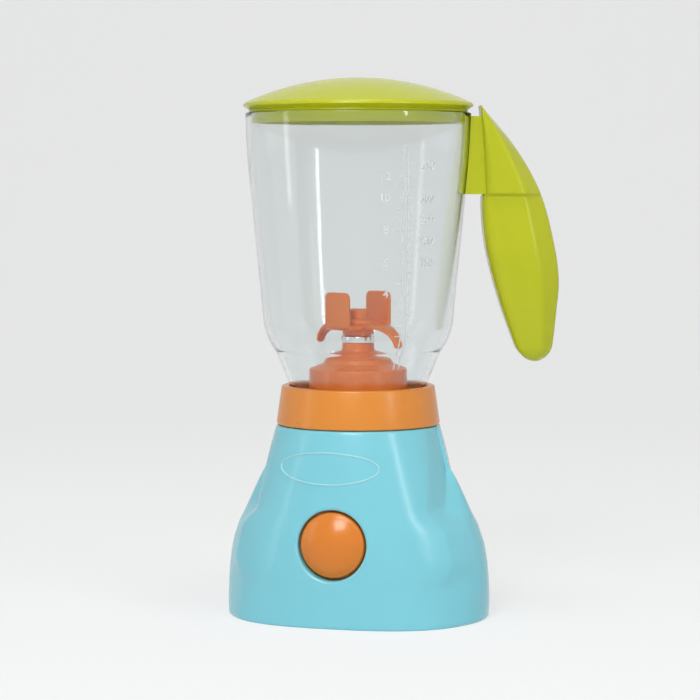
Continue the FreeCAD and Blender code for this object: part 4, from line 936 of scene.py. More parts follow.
    def hole_patch(self, rim: Array, back: Array) -> Skin:
        """The surface between the windows: to the hole's soft lip, down its wall, and back inside.

        Args:
            rim: Points round the outer wall's window.
            back: Points round the inner wall's window, as many.

        Returns:
            The patch's skin.
        """
        def ring(distance: Array | float, turn: Array, inset: float = 0.0, sunk: float = 0.0,
                 flat_y: float | None = None) -> Array:
            """A ring round the button's axis, on the front surface or in a plane across the axis.

            Args:
                distance: Distance from the axis.
                turn: Direction from +X towards +Z in radians.
                inset: How far the ring is moved from the surface towards the part's middle.
                sunk: How far it is moved back along Y.
                flat_y: The plane's Y, for a ring in a plane.

            Returns:
                The points, (points, 3).
            """
            x, z = distance * np.cos(turn), self.button_z + distance * np.sin(turn)
            y = self.front_depth(x, z, inset) + sunk if flat_y is None else np.full_like(x, flat_y)
            return np.stack([x, y, z], axis=1)

        direction, back_direction = (np.arctan2(edge[:, 2] - self.button_z, edge[:, 0])
                                     for edge in (rim, back))
        reach, back_reach = (np.hypot(edge[:, 2] - self.button_z, edge[:, 0]) for edge in (rim, back))
        start = self.hole_radius + self.hole_lip
        rings = [rim]
        rings += [ring(reach + (start - reach) * share, direction) for share in np.linspace(0, 1, 12)[1:]]
        rings += [ring(start - self.hole_lip * np.sin(turn), direction,
                       sunk=self.hole_lip * (1 - np.cos(turn))) for turn in np.linspace(0, np.pi / 2, 7)[1:]]
        rings += [ring(distance, direction, flat_y=self.well_back_y)
                  for distance in (self.hole_radius, self.well_outer_radius)]
        rings += [ring(self.well_outer_radius + (back_reach - self.well_outer_radius) * share,
                       back_direction, self.wall) for share in np.linspace(0, 1, 6)[:-1]]
        return Skin(np.stack([*rings, back]))

    def post_top(self, x: float, y: float, radius: float) -> float:
        """The height at which an upright post meets the shell's wall, found by halving.

        Args:
            x: X of the post's axis.
            y: Y of the post's axis.
            radius: The post's radius.

        Returns:
            The height.
        """
        reach = float(np.hypot(x, y)) + radius + self.wall / 2
        low, high = 0.0, self.seat_z
        for _ in range(20):
            middle = (low + high) / 2
            inside = float(self.radius(np.array(np.arctan2(y, x)), np.array(middle))) > reach
            low, high = (middle, high) if inside else (low, middle)
        return low

    def posts(self) -> list[Skin]:
        """The screw posts inside the shell.

        Returns:
            The skins of four posts for the cover and three for the gearbox frame.
        """
        skins = [tube_skin(self.cover_post_radius, self.pilot_radius, self.cover_post_bottom_z,
                           self.post_top(x, y, self.cover_post_radius), x, y)
                 for x in (-self.cover_post_x, self.cover_post_x)
                 for y in (-self.cover_post_y, self.cover_post_y)]
        for angle in np.radians(self.frame_post_angles):
            skins.append(tube_skin(self.frame_post_radius, self.pilot_radius, self.frame_post_bottom_z,
                                   self.frame_post_top_z, self.frame_post_ring * np.cos(angle),
                                   self.frame_post_ring * np.sin(angle)))
        return skins

    def plaque(self) -> Skin:
        """The bare oval on the front: a fine round bead along an ellipse's line, half sunk.

        Returns:
            The bead's skin.
        """
        turn = np.linspace(0, 2 * np.pi, 240, endpoint=False)
        x = self.plaque_x + self.plaque_half_width * np.cos(turn)
        z = self.plaque_z + self.plaque_half_height * np.sin(turn)
        line = np.stack([x, self.front_depth(x, z, 0.0), z], axis=1)
        along = np.roll(line, -1, axis=0) - np.roll(line, 1, axis=0)
        along /= np.linalg.norm(along, axis=1, keepdims=True)
        outward = np.stack([0 * x, 0 * x - 1, 0 * x], axis=1)
        side = np.cross(along, outward)
        side /= np.linalg.norm(side, axis=1, keepdims=True)
        outward = np.cross(side, along)
        section = np.linspace(0, 2 * np.pi, 10, endpoint=False)
        points = line[None] + self.plaque_bead * (
            np.cos(section)[:, None, None] * side[None] + np.sin(section)[:, None, None] * outward[None])
        return Skin(points, rows_closed=True)

    def build(self, shop: Workshop) -> None:
        """Makes the shell, its posts and its bead.

        Args:
            shop: The workshop that makes the pieces.
        """
        shop.piece("base_oval_bead", [self.plaque()], BEAD_ABS, Body.BASE, Slot.BASE)
        shop.piece("base_shell_skin", self.shell(), BASE_ABS, Body.BASE, Slot.BASE, ("base_shell",))
        shop.piece("base_screw_posts", self.posts(), BASE_ABS, Body.BASE, Slot.BASE)


@dataclass
class Button:
    """The domed push button with its skirt, flange and stem, turned about a line along Y."""
    radius: float = 15.3
    rim_y: float = -44.3
    dome: float = 4.2
    edge: float = 1.4
    flange_radius: float = 17.6
    flange_front: float = 4.2
    flange_back: float = 5.6
    inside_radius: float = 13.5
    floor: float = -1.8
    boss_radius: float = 6.2
    stem_radius: float = 2.4
    stem_end: float = 8.4
    z: float = 38.4

    def build(self, shop: Workshop) -> None:
        """Makes the button: its line gives (distance from the axis, depth behind the rim).

        Args:
            shop: The workshop that makes the pieces.
        """
        shoulder = self.radius - self.edge
        bend = ROUND_MIDDLE * self.edge
        line = np.concatenate([
            arc_through((0, -self.dome), (0.55 * shoulder, -0.72 * self.dome), (shoulder, 0), 24),
            arc_through((shoulder, 0), (self.radius - bend, bend), (self.radius, self.edge), 7)[1:],
            rounded([(self.radius, self.flange_front, 0.3), (self.flange_radius, self.flange_front, 0.3),
                     (self.flange_radius, self.flange_back, 0.3), (self.inside_radius, self.flange_back, 0.3),
                     (self.inside_radius, self.edge, 0.5), (self.boss_radius, self.floor, 0.3),
                     (self.stem_radius, self.floor, 0.3), (self.stem_radius, self.stem_end, 0.4)], 4),
            [(0, self.stem_end)]])
        skin = turned(line, 144)
        turned_points = skin.points
        skin.points = np.stack([turned_points[..., 0], turned_points[..., 2] + self.rim_y,
                                turned_points[..., 1] + self.z], axis=-1)
        skin.rows_closed = False
        shop.piece("push_button_cap", [skin], BUTTON_ABS, Body.BUTTON, Slot.ORANGE, ("main_button",))


# ---------------------------------------------------------------- jar


@dataclass
class Collar:
    """The orange ring between base and jar, with the web that carries the blade seat."""
    bottom_z: float = 90.8
    top_z: float = 109.0
    bottom_radius: float = 38.8
    top_radius: float = 36.2
    edge: float = 0.9
    bore: float = 36.0
    web_bottom_z: float = 102.1
    web_top_z: float = 104.3
    web_inner_radius: float = 15.2
    web_outer_radius: float = 35.0
    groove_radius: float = 33.2
    lip_radius: float = 32.7
    lip: float = 1.3

    def build(self, shop: Workshop) -> None:
        """Makes the collar as one turned line."""
        line = rounded([
            (self.bore, self.bottom_z, 0.3), (self.bottom_radius, self.bottom_z, self.edge),
            (self.top_radius, self.top_z, self.edge), (self.lip_radius, self.top_z, 0.4),
            (self.lip_radius, self.top_z - self.lip, 0.1), (self.groove_radius, self.top_z - self.lip, 0.1),
            (self.groove_radius, self.web_top_z, 0.2), (self.web_inner_radius, self.web_top_z, 0.4),
            (self.web_inner_radius, self.web_bottom_z, 0.4),
            (self.web_outer_radius, self.web_bottom_z, 0.3)], 6)
        shop.piece("collar_ring", [turned(line, 180)], ORANGE_ABS, Body.JAR, Slot.ORANGE, ("collar",))


@dataclass
class JarBody:
    """The clear jar: a neck, a cone, a rounded shoulder and a long tapering wall, with its scale."""
    wall: float = 2.2
    foot_z: float = 105.7
    neck_radius: float = 32.4
    neck_top_z: float = 109.5
    cone_radius: float = 40.0
    cone_z: float = 127.8
    shoulder_radius: float = 44.6
    shoulder_z: float = 137.5
    upper_radius: float = 52.0
    upper_z: float = 213.4
    rim_radius: float = 53.2
    rim_z: float = 237.4
    rim_round: tuple[tuple[float, float], ...] = ((-0.08, 0.0), (-0.35, 0.25), (-0.9, 0.35), (-1.3, 0.35),
                                                  (-1.85, 0.25), (-2.12, 0.0))
    rim_round_z: float = 0.35
    lug_bottom_z: float = 205.0
    lug_top_z: float = 233.0
    lug_reach: float = 62.5
    lug_half_thickness: float = 1.5
    lug_sink: float = 0.6
    scale_angle: float = -49.5
    scale_lean: float = 0.043
    handle_turn: float = 16.0
    mark_height: float = 0.45
    channel_half_width: float = 1.25
    channel_bead: float = 0.3
    channel_top_z: float = 221.5
    channel_bottom_z: float = 118.5
    top_tick_z: float = 207.5
    last_tick_z: float = 130.0
    tick_pitch: float = 4.87
    tick_height: float = 0.5
    left_tick: float = 3.3
    right_tick: float = 2.4
    figure_height: float = 3.7
    digit_share: float = 0.7

    def wall_line(self, inset: float) -> Array:
        """The wall's line from the foot to the rim: straight stretches and two arcs.

        Args:
            inset: How far it is moved inwards.

        Returns:
            The points as (radius, height).
        """
        lower = arc_through((self.cone_radius - 1.2 - inset, self.cone_z - 2.9 + 0.45 * inset),
                            (self.cone_radius + 2.9 - inset, self.cone_z + 4.3 + 0.2 * inset),
                            (self.shoulder_radius - inset, self.shoulder_z), 12)
        upper = arc_through((self.upper_radius - inset, self.upper_z),
                            ((self.upper_radius + self.rim_radius) / 2 + 0.15 - inset,
                             (self.upper_z + self.rim_z) / 2),
                            (self.rim_radius - inset, self.rim_z), 8)
        return np.concatenate([
            [(self.neck_radius - inset, self.foot_z), (self.neck_radius - inset, self.neck_top_z - 0.6),
             (self.neck_radius + 0.3 - inset, self.neck_top_z + 0.4)], lower,
            [(self.shoulder_radius + 2.5 - inset, self.shoulder_z + 25.6)], upper])

    def radius_at(self, z: Array) -> Array:
        """The outer wall's radius at a height."""
        line = self.wall_line(0.0)
        return np.interp(z, line[:, 1], line[:, 0])

    def on_wall(self, across: Array, z: Array, proud: Array | float) -> Array:
        """Lays flat places of the scale on the wall.

        Args:
            across: Millimetres to the right along the wall from the scale's middle, seen from outside.
            z: Height.
            proud: Distance outside the wall.

        Returns:
            The points: radius R + proud, at the scale's angle plus across / R. The scale leans a
            little against the wall's own lines, which run together downwards.
        """
        radius = self.radius_at(z)
        turn = np.radians(self.scale_angle + self.scale_lean * (self.top_tick_z - z)) + across / radius
        reach = radius + proud
        return np.stack([reach * np.cos(turn), reach * np.sin(turn), z + 0 * turn], axis=-1)

    def body(self) -> Skin:
        """The wall as one turned line with a rounded rim.

        Returns:
            Its skin.
        """
        outer, inner = self.wall_line(0.0), self.wall_line(self.wall)[::-1]
        rim = np.array(self.rim_round) + np.array([self.rim_radius, self.rim_z - self.rim_round_z])
        outer[-1, 1] -= 2 * self.rim_round_z
        inner[0, 1] -= 2 * self.rim_round_z
        return turned(np.concatenate([outer, rim, inner]), 256)

    def lug(self) -> Skin:
        """The flat lug inside the handle's block.

        Returns:
            Its skin.
        """
        z = np.linspace(self.lug_bottom_z, self.lug_top_z, 12)
        near = self.radius_at(z) - self.lug_sink
        far = np.full_like(z, self.lug_reach)
        half = self.lug_half_thickness
        ring = np.stack([np.stack([near, z * 0 - half, z], 1), np.stack([far, z * 0 - half, z], 1),
                         np.stack([far, z * 0 + half, z], 1), np.stack([near, z * 0 + half, z], 1)], axis=1)
        return capped(turned_about_z(ring, self.handle_turn))

    def raised_bar(self, left: float, right: float, bottom: float, top: float) -> Skin:
        """A low bar on the wall with sloping sides: one tick of the scale.

        Args:
            left: Its left end, in millimetres to the right of the scale's middle.
            right: Its right end.
            bottom: Height of its lower edge.
            top: Height of its upper edge.

        Returns:
            The bar's skin.
        """
        share = np.linspace(0, 1, max(3, int(abs(right - left) / 1.5) + 2))
        across = left + (right - left) * share[:, None]
        edge = 0.12
        z = np.array([bottom, bottom, bottom + edge, top - edge, top, top])[None, :]
        proud = np.array([-0.1, 0.05, self.mark_height, self.mark_height, 0.05, -0.1])[None, :]
        return capped(self.on_wall(across + 0 * z, z + 0 * across, proud + 0 * across))

    def channel(self) -> Skin:
        """The outline of the scale's column: a fine bead up one side, round its top and down the other.

        Returns:
            The bead's skin.
        """
        half, top = self.channel_half_width, self.channel_top_z - self.channel_half_width
        rise = np.linspace(self.channel_bottom_z, top, 90)
        turn = np.linspace(np.pi, 0, 15)[1:-1]
        path = np.concatenate([np.stack([0 * rise - half, rise], axis=1),
                               np.stack([half * np.cos(turn), top + half * np.sin(turn)], axis=1),
                               np.stack([0 * rise + half, rise[::-1]], axis=1)])
        along = np.gradient(path, axis=0)
        along /= np.linalg.norm(along, axis=1, keepdims=True)
        offset = np.array([-1.0, -0.8, -0.3, 0.3, 0.8, 1.0])[None, :] * self.channel_bead
        proud = np.array([-0.1, 0.2, 0.45, 0.45, 0.2, -0.1])[None, :]
        across = path[:, :1] - along[:, 1:] * offset
        z = path[:, 1:] + along[:, :1] * offset
        return capped(self.on_wall(across, z, proud + 0 * z))

    def scale_bars(self) -> list[Skin]:
        """The ticks to both sides of the column, one pitch apart, and one more at the top right.

        Returns:
            Their skins.
        """
        start = self.channel_half_width - 0.1
        low, high = -self.tick_height / 2, self.tick_height / 2
        bars = []
        for z in np.arange(self.top_tick_z, self.last_tick_z, -self.tick_pitch):
            bars.append(self.raised_bar(-start - self.left_tick, -start, z + low, z + high))
            bars.append(self.raised_bar(start, start + self.right_tick, z + low, z + high))
        z = self.top_tick_z + self.tick_pitch
        bars.append(self.raised_bar(start, start + self.right_tick, z + low, z + high))
        return bars

    def figure(self, text: str, across: float, z: float) -> bpy.types.Mesh:
        """A plain number laid on the wall as a raised mesh.

        Args:
            text: The digits.
            across: Millimetres from the scale's middle to the number's middle.
            z: Height of the number's middle.

        Returns:
            The mesh in metres, in its place.
        """
        name = "figure_" + text
        curve = bpy.data.curves.new(name, "FONT")
        curve.body = text
        curve.align_x = "CENTER"
        curve.align_y = "CENTER"
        curve.size = self.figure_height / self.digit_share
        curve.extrude = 0.5
        curve.resolution_u = 3
        holder = bpy.data.objects.new(name, curve)
        bpy.context.scene.collection.objects.link(holder)
        depsgraph = bpy.context.evaluated_depsgraph_get()
        mesh = bpy.data.meshes.new_from_object(holder.evaluated_get(depsgraph))
        bpy.data.objects.remove(holder)
        flat = np.empty(len(mesh.vertices) * 3)
        mesh.vertices.foreach_get("co", flat)
        flat = flat.reshape(-1, 3)
        proud = np.where(flat[:, 2] > 0, self.mark_height, -0.1)
        laid = self.on_wall(across + flat[:, 0], z + flat[:, 1], proud) * MM
        mesh.vertices.foreach_set("co", laid.ravel())
        mesh.update()
        return mesh

    def figures(self) -> bpy.types.Mesh:
        """All the scale's numbers as one mesh.

        Returns:
            The mesh in metres.
        """
        rows = [("12", -10.2, 207.5), ("10", -10.2, 197.8), ("8", -9.6, 183.2), ("6", -9.4, 168.5),
                ("4", -9.2, 153.9), ("350", 12.0, 212.4), ("300", 12.0, 197.2), ("250", 12.0, 187.6),
                ("200", 12.0, 177.8), ("150", 12.0, 168.2)]
        work = bmesh.new()
        for text, across, z in rows:
            mesh = self.figure(text, across, z)
            work.from_mesh(mesh)
            bpy.data.meshes.remove(mesh)
        whole = bpy.data.meshes.new("jar_scale_figures")
        work.to_mesh(whole)
        work.free()
        return whole

    def build(self, shop: Workshop) -> None:
        """Makes the jar, its lug and its scale.

        Args:
            shop: The workshop that makes the pieces.
        """
        shop.piece("jar_wall", [self.body(), self.lug()], JAR_STYRENE, Body.JAR, Slot.CLEAR, ("jar",))
        shop.piece("jar_scale_column", [self.channel()], SCALE_STYRENE, Body.JAR, Slot.CLEAR)
        shop.piece("jar_scale_marks", self.scale_bars(), SCALE_STYRENE, Body.JAR, Slot.CLEAR)
        shop.place(bpy.data.objects.new("jar_scale_figures", self.figures()), SCALE_STYRENE,
                   Body.JAR, Slot.CLEAR)


@dataclass
class BladeSeat:
    """The stepped orange cone in the jar's floor, and the bright ring on its top."""
    flange_radius: float = 32.3
    bottom_z: float = 104.3
    flange_top_z: float = 105.7
    step_radius: float = 23.3
    step_z: float = 117.2
    ledge_radius: float = 16.5
    ledge_z: float = 119.8
    upper_radius: float = 15.4
    upper_z: float = 121.9
    neck_radius: float = 7.5
    neck_foot_z: float = 124.6
    neck_top_z: float = 128.6
    bore: float = 4.12
    inner_radius: float = 21.3
    step_under_z: float = 114.8
    hollow_radius: float = 15.6
    hollow_top_z: float = 119.0
    tube_radius: float = 6.1
    tube_root_z: float = 121.0
    tube_bottom_z: float = 118.4
    ring_radius: float = 7.9
    ring_top_z: float = 132.2
    ring_bore: float = 1.55

    def build(self, shop: Workshop) -> None:
        """Makes the seat and the ring.

        Args:
            shop: The workshop that makes the pieces.
        """
        line = rounded([
            (self.flange_radius, self.bottom_z, 0.2), (self.flange_radius, self.flange_top_z, 0.3),
            (self.step_radius, self.flange_top_z, 0.6), (self.step_radius - 0.2, self.step_z, 1.0),
            (self.ledge_radius, self.ledge_z, 0.8), (self.upper_radius, self.upper_z, 0.8),
            (self.neck_radius + 0.2, self.neck_foot_z, 1.2), (self.neck_radius, self.neck_top_z, 0.4),
            (self.bore, self.neck_top_z, 0.1), (self.bore, self.tube_bottom_z, 0.1),
            (self.tube_radius, self.tube_bottom_z, 0.2), (self.tube_radius, self.tube_root_z, 0.4),
            (self.hollow_radius, self.hollow_top_z, 0.4), (self.hollow_radius, self.step_under_z, 0.4),
            (self.inner_radius, self.step_under_z, 0.4), (self.inner_radius, self.bottom_z, 0.2)], 6)
        shop.piece("blade_seat_cone", [turned(line, 144)], BLADE_ABS, Body.JAR, Slot.ORANGE,
                   ("blade_seat",))
        ring = rounded([
            (self.ring_bore, self.neck_top_z, 0.1), (self.ring_radius, self.neck_top_z, 0.6),
            (self.ring_radius, self.ring_top_z, 0.8), (self.ring_bore, self.ring_top_z, 0.1)], 8)
        shop.piece("bright_ring_cap", [turned(ring, 96)], BRIGHT_PLATE, Body.JAR, Slot.BRIGHT,
                   ("bearing_cap",))


@dataclass
class BladeRotor:
    """The orange rotor: a crowned hub, two paddles bent up and two pointed arms curved down."""
    hub_radius: float = 7.4
    hub_bottom_z: float = 132.5
    hub_top_z: float = 140.2
    crown_radius: float = 4.5
    crown_top_z: float = 145.2
    direction: float = 29.0
    thickness: float = 2.4
    round_off: float = 0.5
    root_x: float = 2.2
    root_end_x: float = 6.0
    paddle_width: float = 15.4
    paddle_reach: float = 14.9
    paddle_root_z: float = 135.2
    paddle_top_z: float = 153.2
    paddle_bend: float = 2.0
    paddle_corner: float = 3.0
    arm_reach: float = 26.6
    arm_top_z: float = 138.4
    arm_tip_z: float = 127.2
    arm_root_width: float = 11.0
    arm_tip_width: float = 4.5
    arm_flat: float = 13.0
    arm_corner: float = 1.6

    @staticmethod
    def blade(line: Array, half_width: Array, half_thickness: Array) -> Skin:
        """A blade swept along a line in the XZ plane.

        Its section is |v/w|^5 + |n/t|^5 = 1, with v across the blade and n square to the line.

        Args:
            line: (x, z) of the blade's middle.
            half_width: The half width w at each point of the line.
            half_thickness: The half thickness t at each point.

        Returns:
            The closed skin.
        """
        along = np.gradient(line, axis=0)
        along /= np.linalg.norm(along, axis=1, keepdims=True)
        normal = np.stack([-along[:, 1], along[:, 0]], axis=1)
        turn = np.linspace(0, 2 * np.pi, 40, endpoint=False)[None, :]
        across = half_width[:, None] * signed_power(np.cos(turn), 0.4)
        up = half_thickness[:, None] * signed_power(np.sin(turn), 0.4)
        return capped(np.stack([line[:, :1] + normal[:, :1] * up, across, line[:, 1:] + normal[:, 1:] * up],
                               axis=-1))

    def end_taper(self, length: Array, corner: float) -> list[Array]:
        """How much width and thickness a rounded end loses at each distance from the start."""
        left = length[-1] - length
        return [radius - np.sqrt(np.maximum(radius ** 2 - (radius - left).clip(0) ** 2, 0.0))
                for radius in (corner, self.round_off)]

    def paddle(self) -> Skin:
        """A paddle: level out of the hub, then bent upright, with round corners.

        Returns:
            Its skin, towards +X.
        """
        middle = self.paddle_root_z + self.thickness / 2
        reach = self.paddle_reach - self.thickness / 2
        bend = self.paddle_bend
        turn = 1 - np.sqrt(0.5)
        curve = arc_through((reach - bend, middle), (reach - bend * turn, middle + bend * turn),
                            (reach, middle + bend), 8)
        upright = self.paddle_top_z - np.array([16.0, 12.0, 8.0, 5.0, 3.0, 2.6, 2.2, 1.8, 1.4, 1.0, 0.7, 0.45,
                                                0.25, 0.1, 0.0])
        upright = upright[upright > middle + bend + 0.2]
        line = np.concatenate([[(self.root_x, middle), (self.root_end_x, middle)], curve,
                               np.stack([np.full_like(upright, reach), upright], axis=1)])
        width_loss, thickness_loss = self.end_taper(line_length(line), self.paddle_corner)
        return self.blade(line, self.paddle_width / 2 - width_loss, self.thickness / 2 - thickness_loss)

    def arm(self) -> Skin:
        """An arm: level out of the hub, then curved down to a narrow tip.

        Returns:
            Its skin, towards +X.
        """
        middle = self.arm_top_z - self.thickness / 2
        share = np.linspace(0, 1, 22)
        x = self.arm_flat + (self.arm_reach - 0.6 - self.arm_flat) * np.sin(share * np.pi / 2) ** 1.15
        z = middle - (middle - self.arm_tip_z) * (1 - np.cos(share * np.pi / 2)) ** 1.05
        line = np.concatenate([[(self.root_x, middle), (self.root_end_x, middle), (10.0, middle)],
                               np.stack([x, z], axis=1)])
        length = line_length(line)
        narrow = smooth_step(length, 8.0, length[-1])
        half_width = (self.arm_root_width + (self.arm_tip_width - self.arm_root_width) * narrow) / 2
        width_loss, thickness_loss = self.end_taper(length, self.arm_corner)
        thin = 1 - 0.35 * smooth_step(length, 10.0, length[-1])
        return self.blade(line, half_width - width_loss, self.thickness / 2 * thin - thickness_loss)

    def build(self, shop: Workshop) -> None:
        """Makes the rotor.

        Args:
            shop: The workshop that makes the pieces.
        """
        hub = rounded([
            (0.0, self.hub_bottom_z, 0.0), (self.hub_radius, self.hub_bottom_z, 0.6),
            (self.hub_radius, self.hub_top_z, 1.4), (self.crown_radius, self.hub_top_z, 0.6),
            (self.crown_radius, self.crown_top_z, 1.4), (0.0, self.crown_top_z, 0.0)], 7)
        skins = [turned(hub, 96)]
        for index, blade in enumerate((self.paddle(), self.arm(), self.paddle(), self.arm())):
            blade.points = turned_about_z(blade.points, -90 - self.direction + 90 * index)
            skins.append(blade)
        shop.piece("blade_rotor_moulding", skins, BLADE_ABS, Body.BLADES, Slot.ORANGE, ("blade_rotor",))


# ---------------------------------------------------------------- handle and lid


@dataclass
class Handle:
    """The lime handle: a narrow root at the jar, a wide block, and a banana-shaped grip to a round tip."""
    root_half_width: float = 10.0
    block_half_width: float = 13.0
    block_bottom_z: float = 198.6
    top_z: float = 240.6
    tip_z: float = 120.2
    tip_x: float = 83.6
    tip_round: float = 7.5
    parting: float = 0.05
    ledge_low_z: float = 198.0
    ledge_high_z: float = 199.8
    grip_end_z: float = 205.0
    root_top_z: float = 235.6
    root_reach: float = 61.5
    root_gap: float = 0.3
    seam_depth: float = 0.22
    seam_width: float = 0.35
    crease: float = 40.0
    inner_knots: Knots = ((118.0, 77.4), (124.5, 75.2), (132.1, 72.3), (147.1, 67.0), (162.2, 62.6),
                          (177.2, 59.4), (192.3, 58.0), (205.0, 58.2))
    outer_knots: Knots = ((118.0, 89.6), (124.6, 91.2), (132.1, 92.3), (143.0, 93.4), (157.5, 94.6),
                          (178.5, 91.7), (204.0, 83.8), (222.1, 73.0), (240.6, 57.6))
    width_knots: Knots = ((118.0, 7.0), (146.0, 10.6), (172.0, 12.0), (196.0, 11.2), (205.0, 11.2))
    block_knots: Knots = ((198.6, 59.6), (222.0, 58.4), (240.6, 57.0))

    def tip_share(self, z: Array) -> Array:
        """How much of the grip's section is there: 0 at the tip's end and 1 above its rounding."""
        left = np.clip((z - self.tip_z) / self.tip_round, 0.0, 1.0)
        return np.sqrt(np.maximum(1 - (1 - left) ** 2, 0.0))

    def half_width(self, z: Array) -> Array:
        """Half the handle's width: the block's above, the grip's below, narrowing to the tip.

        Args:
            z: Height.

        Returns:
            The half width.
        """
        grip = through(self.width_knots, np.minimum(z, self.grip_end_z))
        grip = self.parting + (grip - self.parting) * self.tip_share(z)
        return grip + (self.block_half_width - grip) * self.block_share(z)

    def block_share(self, z: Array) -> Array:
        """0 on the grip and 1 on the block, with the ledge between them."""
        return smooth_step(z, self.ledge_low_z, self.ledge_high_z)

    @staticmethod
    def section() -> tuple[Array, Array]:
        """Half the grip's section in a unit frame: X from -1 inside to 1 outside, Y from 0 to 1.

        A flat face takes most of it, and a facet slopes from it to the outer side.

        Returns:
            X and Y of the half section from the outer to the inner side, each (1, points).
        """
        line = rounded([(1.0, -0.6, 0.01), (1.0, 0.34, 0.3), (0.4, 1.0, 0.5), (-1.0, 1.0, 0.32),
                        (-1.0, -0.6, 0.01)], 11)
        above = line[line[:, 1] > 0.0]
        points = np.concatenate([[(above[0, 0], 0.0)], above, [(above[-1, 0], 0.0)]])
        length = line_length(points)
        even = np.linspace(0, length[-1], 56)
        return np.interp(even, length, points[:, 0])[None, :], np.interp(even, length, points[:, 1])[None, :]

    def half(self, side: float, jar: JarBody) -> list[Skin]:
        """One moulded half.

        At each height the section is stretched between the inner and the outer line and from the
        parting plane to the half width.

        Args:
            side: -1 for the front half and 1 for the rear half.
            jar: The jar that the block and the root lie against.

        Returns:
            The half's closed skins: the block with the grip, and the root.
        """
        z = np.concatenate([
            self.tip_z + self.tip_round * (1 - np.cos(np.linspace(0.04, np.pi / 2, 16))),
            np.linspace(128.4, 195.0, 70), np.linspace(195.6, 203.0, 22), np.linspace(204.0, 236.0, 30),
            np.linspace(236.6, self.top_z - 0.02, 10)])[:, None]
        share = self.tip_share(z)
        inner = self.tip_x + (through(self.inner_knots, z) - self.tip_x) * share
        outer = self.tip_x + (through(self.outer_knots, z) - self.tip_x) * share
        shape_x, shape_y = self.section()
        y = self.parting + (self.half_width(z) - self.parting) * shape_y
        block_inner = through(self.block_knots, np.maximum(z, self.block_bottom_z))
        near = np.minimum(inner + (block_inner - inner) * self.block_share(z), outer - 0.4)
        x = (outer + near) / 2 + (outer - near) / 2 * shape_x
        seam = self.seam_depth * np.exp(-(y / self.seam_width) ** 2) * np.sign(shape_x)
        rings = np.stack([x - seam, side * y, z + 0 * y], axis=-1)
        skins = [capped(rings), self.root(side, jar)]
        for skin in skins:
            skin.points = turned_about_z(skin.points, jar.handle_turn)
        return skins

    def root(self, side: float, jar: JarBody) -> Skin:
        """The narrow root between the jar and the block.

        Args:
            side: -1 for the front half and 1 for the rear half.
            jar: The jar that it lies against.

        Returns:
            The root's closed skin, before the handle's turn about the axis.
        """
        z = np.linspace(self.block_bottom_z + 0.6, self.root_top_z, 30)[:, None]
        share = np.linspace(0, 1, 14)[None, :]
        y = self.parting + (self.root_half_width - self.parting) * share
        near = np.sqrt((jar.radius_at(z) + self.root_gap) ** 2 - y ** 2)
        far = np.minimum(near * 0 + self.root_reach, through(self.outer_knots, z) - 1.0)
        x = np.concatenate([near, far[:, ::-1]], axis=1)
        y = np.concatenate([y + 0 * near, (y + 0 * near)[:, ::-1]], axis=1)
        return capped(np.stack([x, side * y, z + 0 * x], axis=-1))

    def build(self, shop: Workshop, jar: JarBody) -> None:
        """Makes both halves."""
        for side, name, node in ((-1.0, "handle_front_moulding", "handle_front_half"),
                                 (1.0, "handle_rear_moulding", "handle_rear_half")):
            shop.piece(name, self.half(side, jar), LIME_PP, Body.JAR, Slot.LIME, (node,), self.crease)


@dataclass
class Lid:
    """The lime lid: a low dome with a rounded rim and a skirt inside the jar."""
    radius: float = 54.2
    shoulder_radius: float = 52.6
    shoulder_z: float = 242.4
    apex_z: float = 253.8
    bottom_z: float = 237.7
    wall: float = 2.0
    skirt_radius: float = 50.4
    skirt_low_radius: float = 50.0
    skirt_wall: float = 1.8
    skirt_bottom_z: float = 232.5

    def dome(self, radius: float, drop: float) -> float:
        """Height of the dome at a radius: a sphere through the apex and the shoulder.

        Args:
            radius: Distance from the axis.
            drop: How far the dome is lowered.

        Returns:
            The height.
        """
        rise = self.apex_z - self.shoulder_z
        sphere = (self.shoulder_radius ** 2 + rise ** 2) / (2 * rise)
        return self.apex_z - drop - sphere + float(np.sqrt(sphere ** 2 - radius ** 2))

    def build(self, shop: Workshop) -> None:
        """Makes the lid as one turned line.

        Args:
            shop: The workshop that makes the pieces.
        """
        inside = self.skirt_low_radius - self.skirt_wall
        line = np.concatenate([
            arc_through((0, self.apex_z),
                        (self.shoulder_radius / 2, self.dome(self.shoulder_radius / 2, 0.0)),
                        (self.shoulder_radius, self.shoulder_z), 40),
            arc_through((self.shoulder_radius + 0.1, self.shoulder_z - 0.04),
                        (self.radius - 0.48, self.shoulder_z - 0.7), (self.radius, self.shoulder_z - 2.0), 9),
            rounded([(self.radius, self.bottom_z, 0.4), (self.skirt_radius, self.bottom_z, 0.2),
                     (self.skirt_low_radius, self.skirt_bottom_z, 0.3), (inside, self.skirt_bottom_z, 0.3),
                     (inside, self.dome(inside, self.wall), 1.0), (0, self.apex_z - self.wall, 0.0)], 5)])
        skin = turned(line, 200)
        skin.rows_closed = False
        shop.piece("lid_dome", [skin], LIME_PP, Body.LID, Slot.LIME, ("lid",))


# ---------------------------------------------------------------- studio


@dataclass(frozen=True)
class Lamp:
    """A soft rectangular lamp that points at the part.

    Its azimuth is in degrees from the front towards +X, its sizes and its distance are in metres,
    and its power is in watts.
    """
    name: str
    azimuth: float
    elevation: float
    distance: float
    width: float
    height: float
    power: float


LAMPS = (
    Lamp("key_softbox", azimuth=4.0, elevation=36.0, distance=1.5, width=0.6, height=0.6, power=10.0),
    Lamp("right_softbox", azimuth=64.0, elevation=24.0, distance=1.4, width=0.09, height=0.9, power=2.4),
    Lamp("top_softbox", azimuth=20.0, elevation=78.0, distance=1.4, width=0.7, height=0.7, power=6.5),
    Lamp("left_strip", azimuth=-62.0, elevation=14.0, distance=1.3, width=0.12, height=1.0, power=0.8),
)


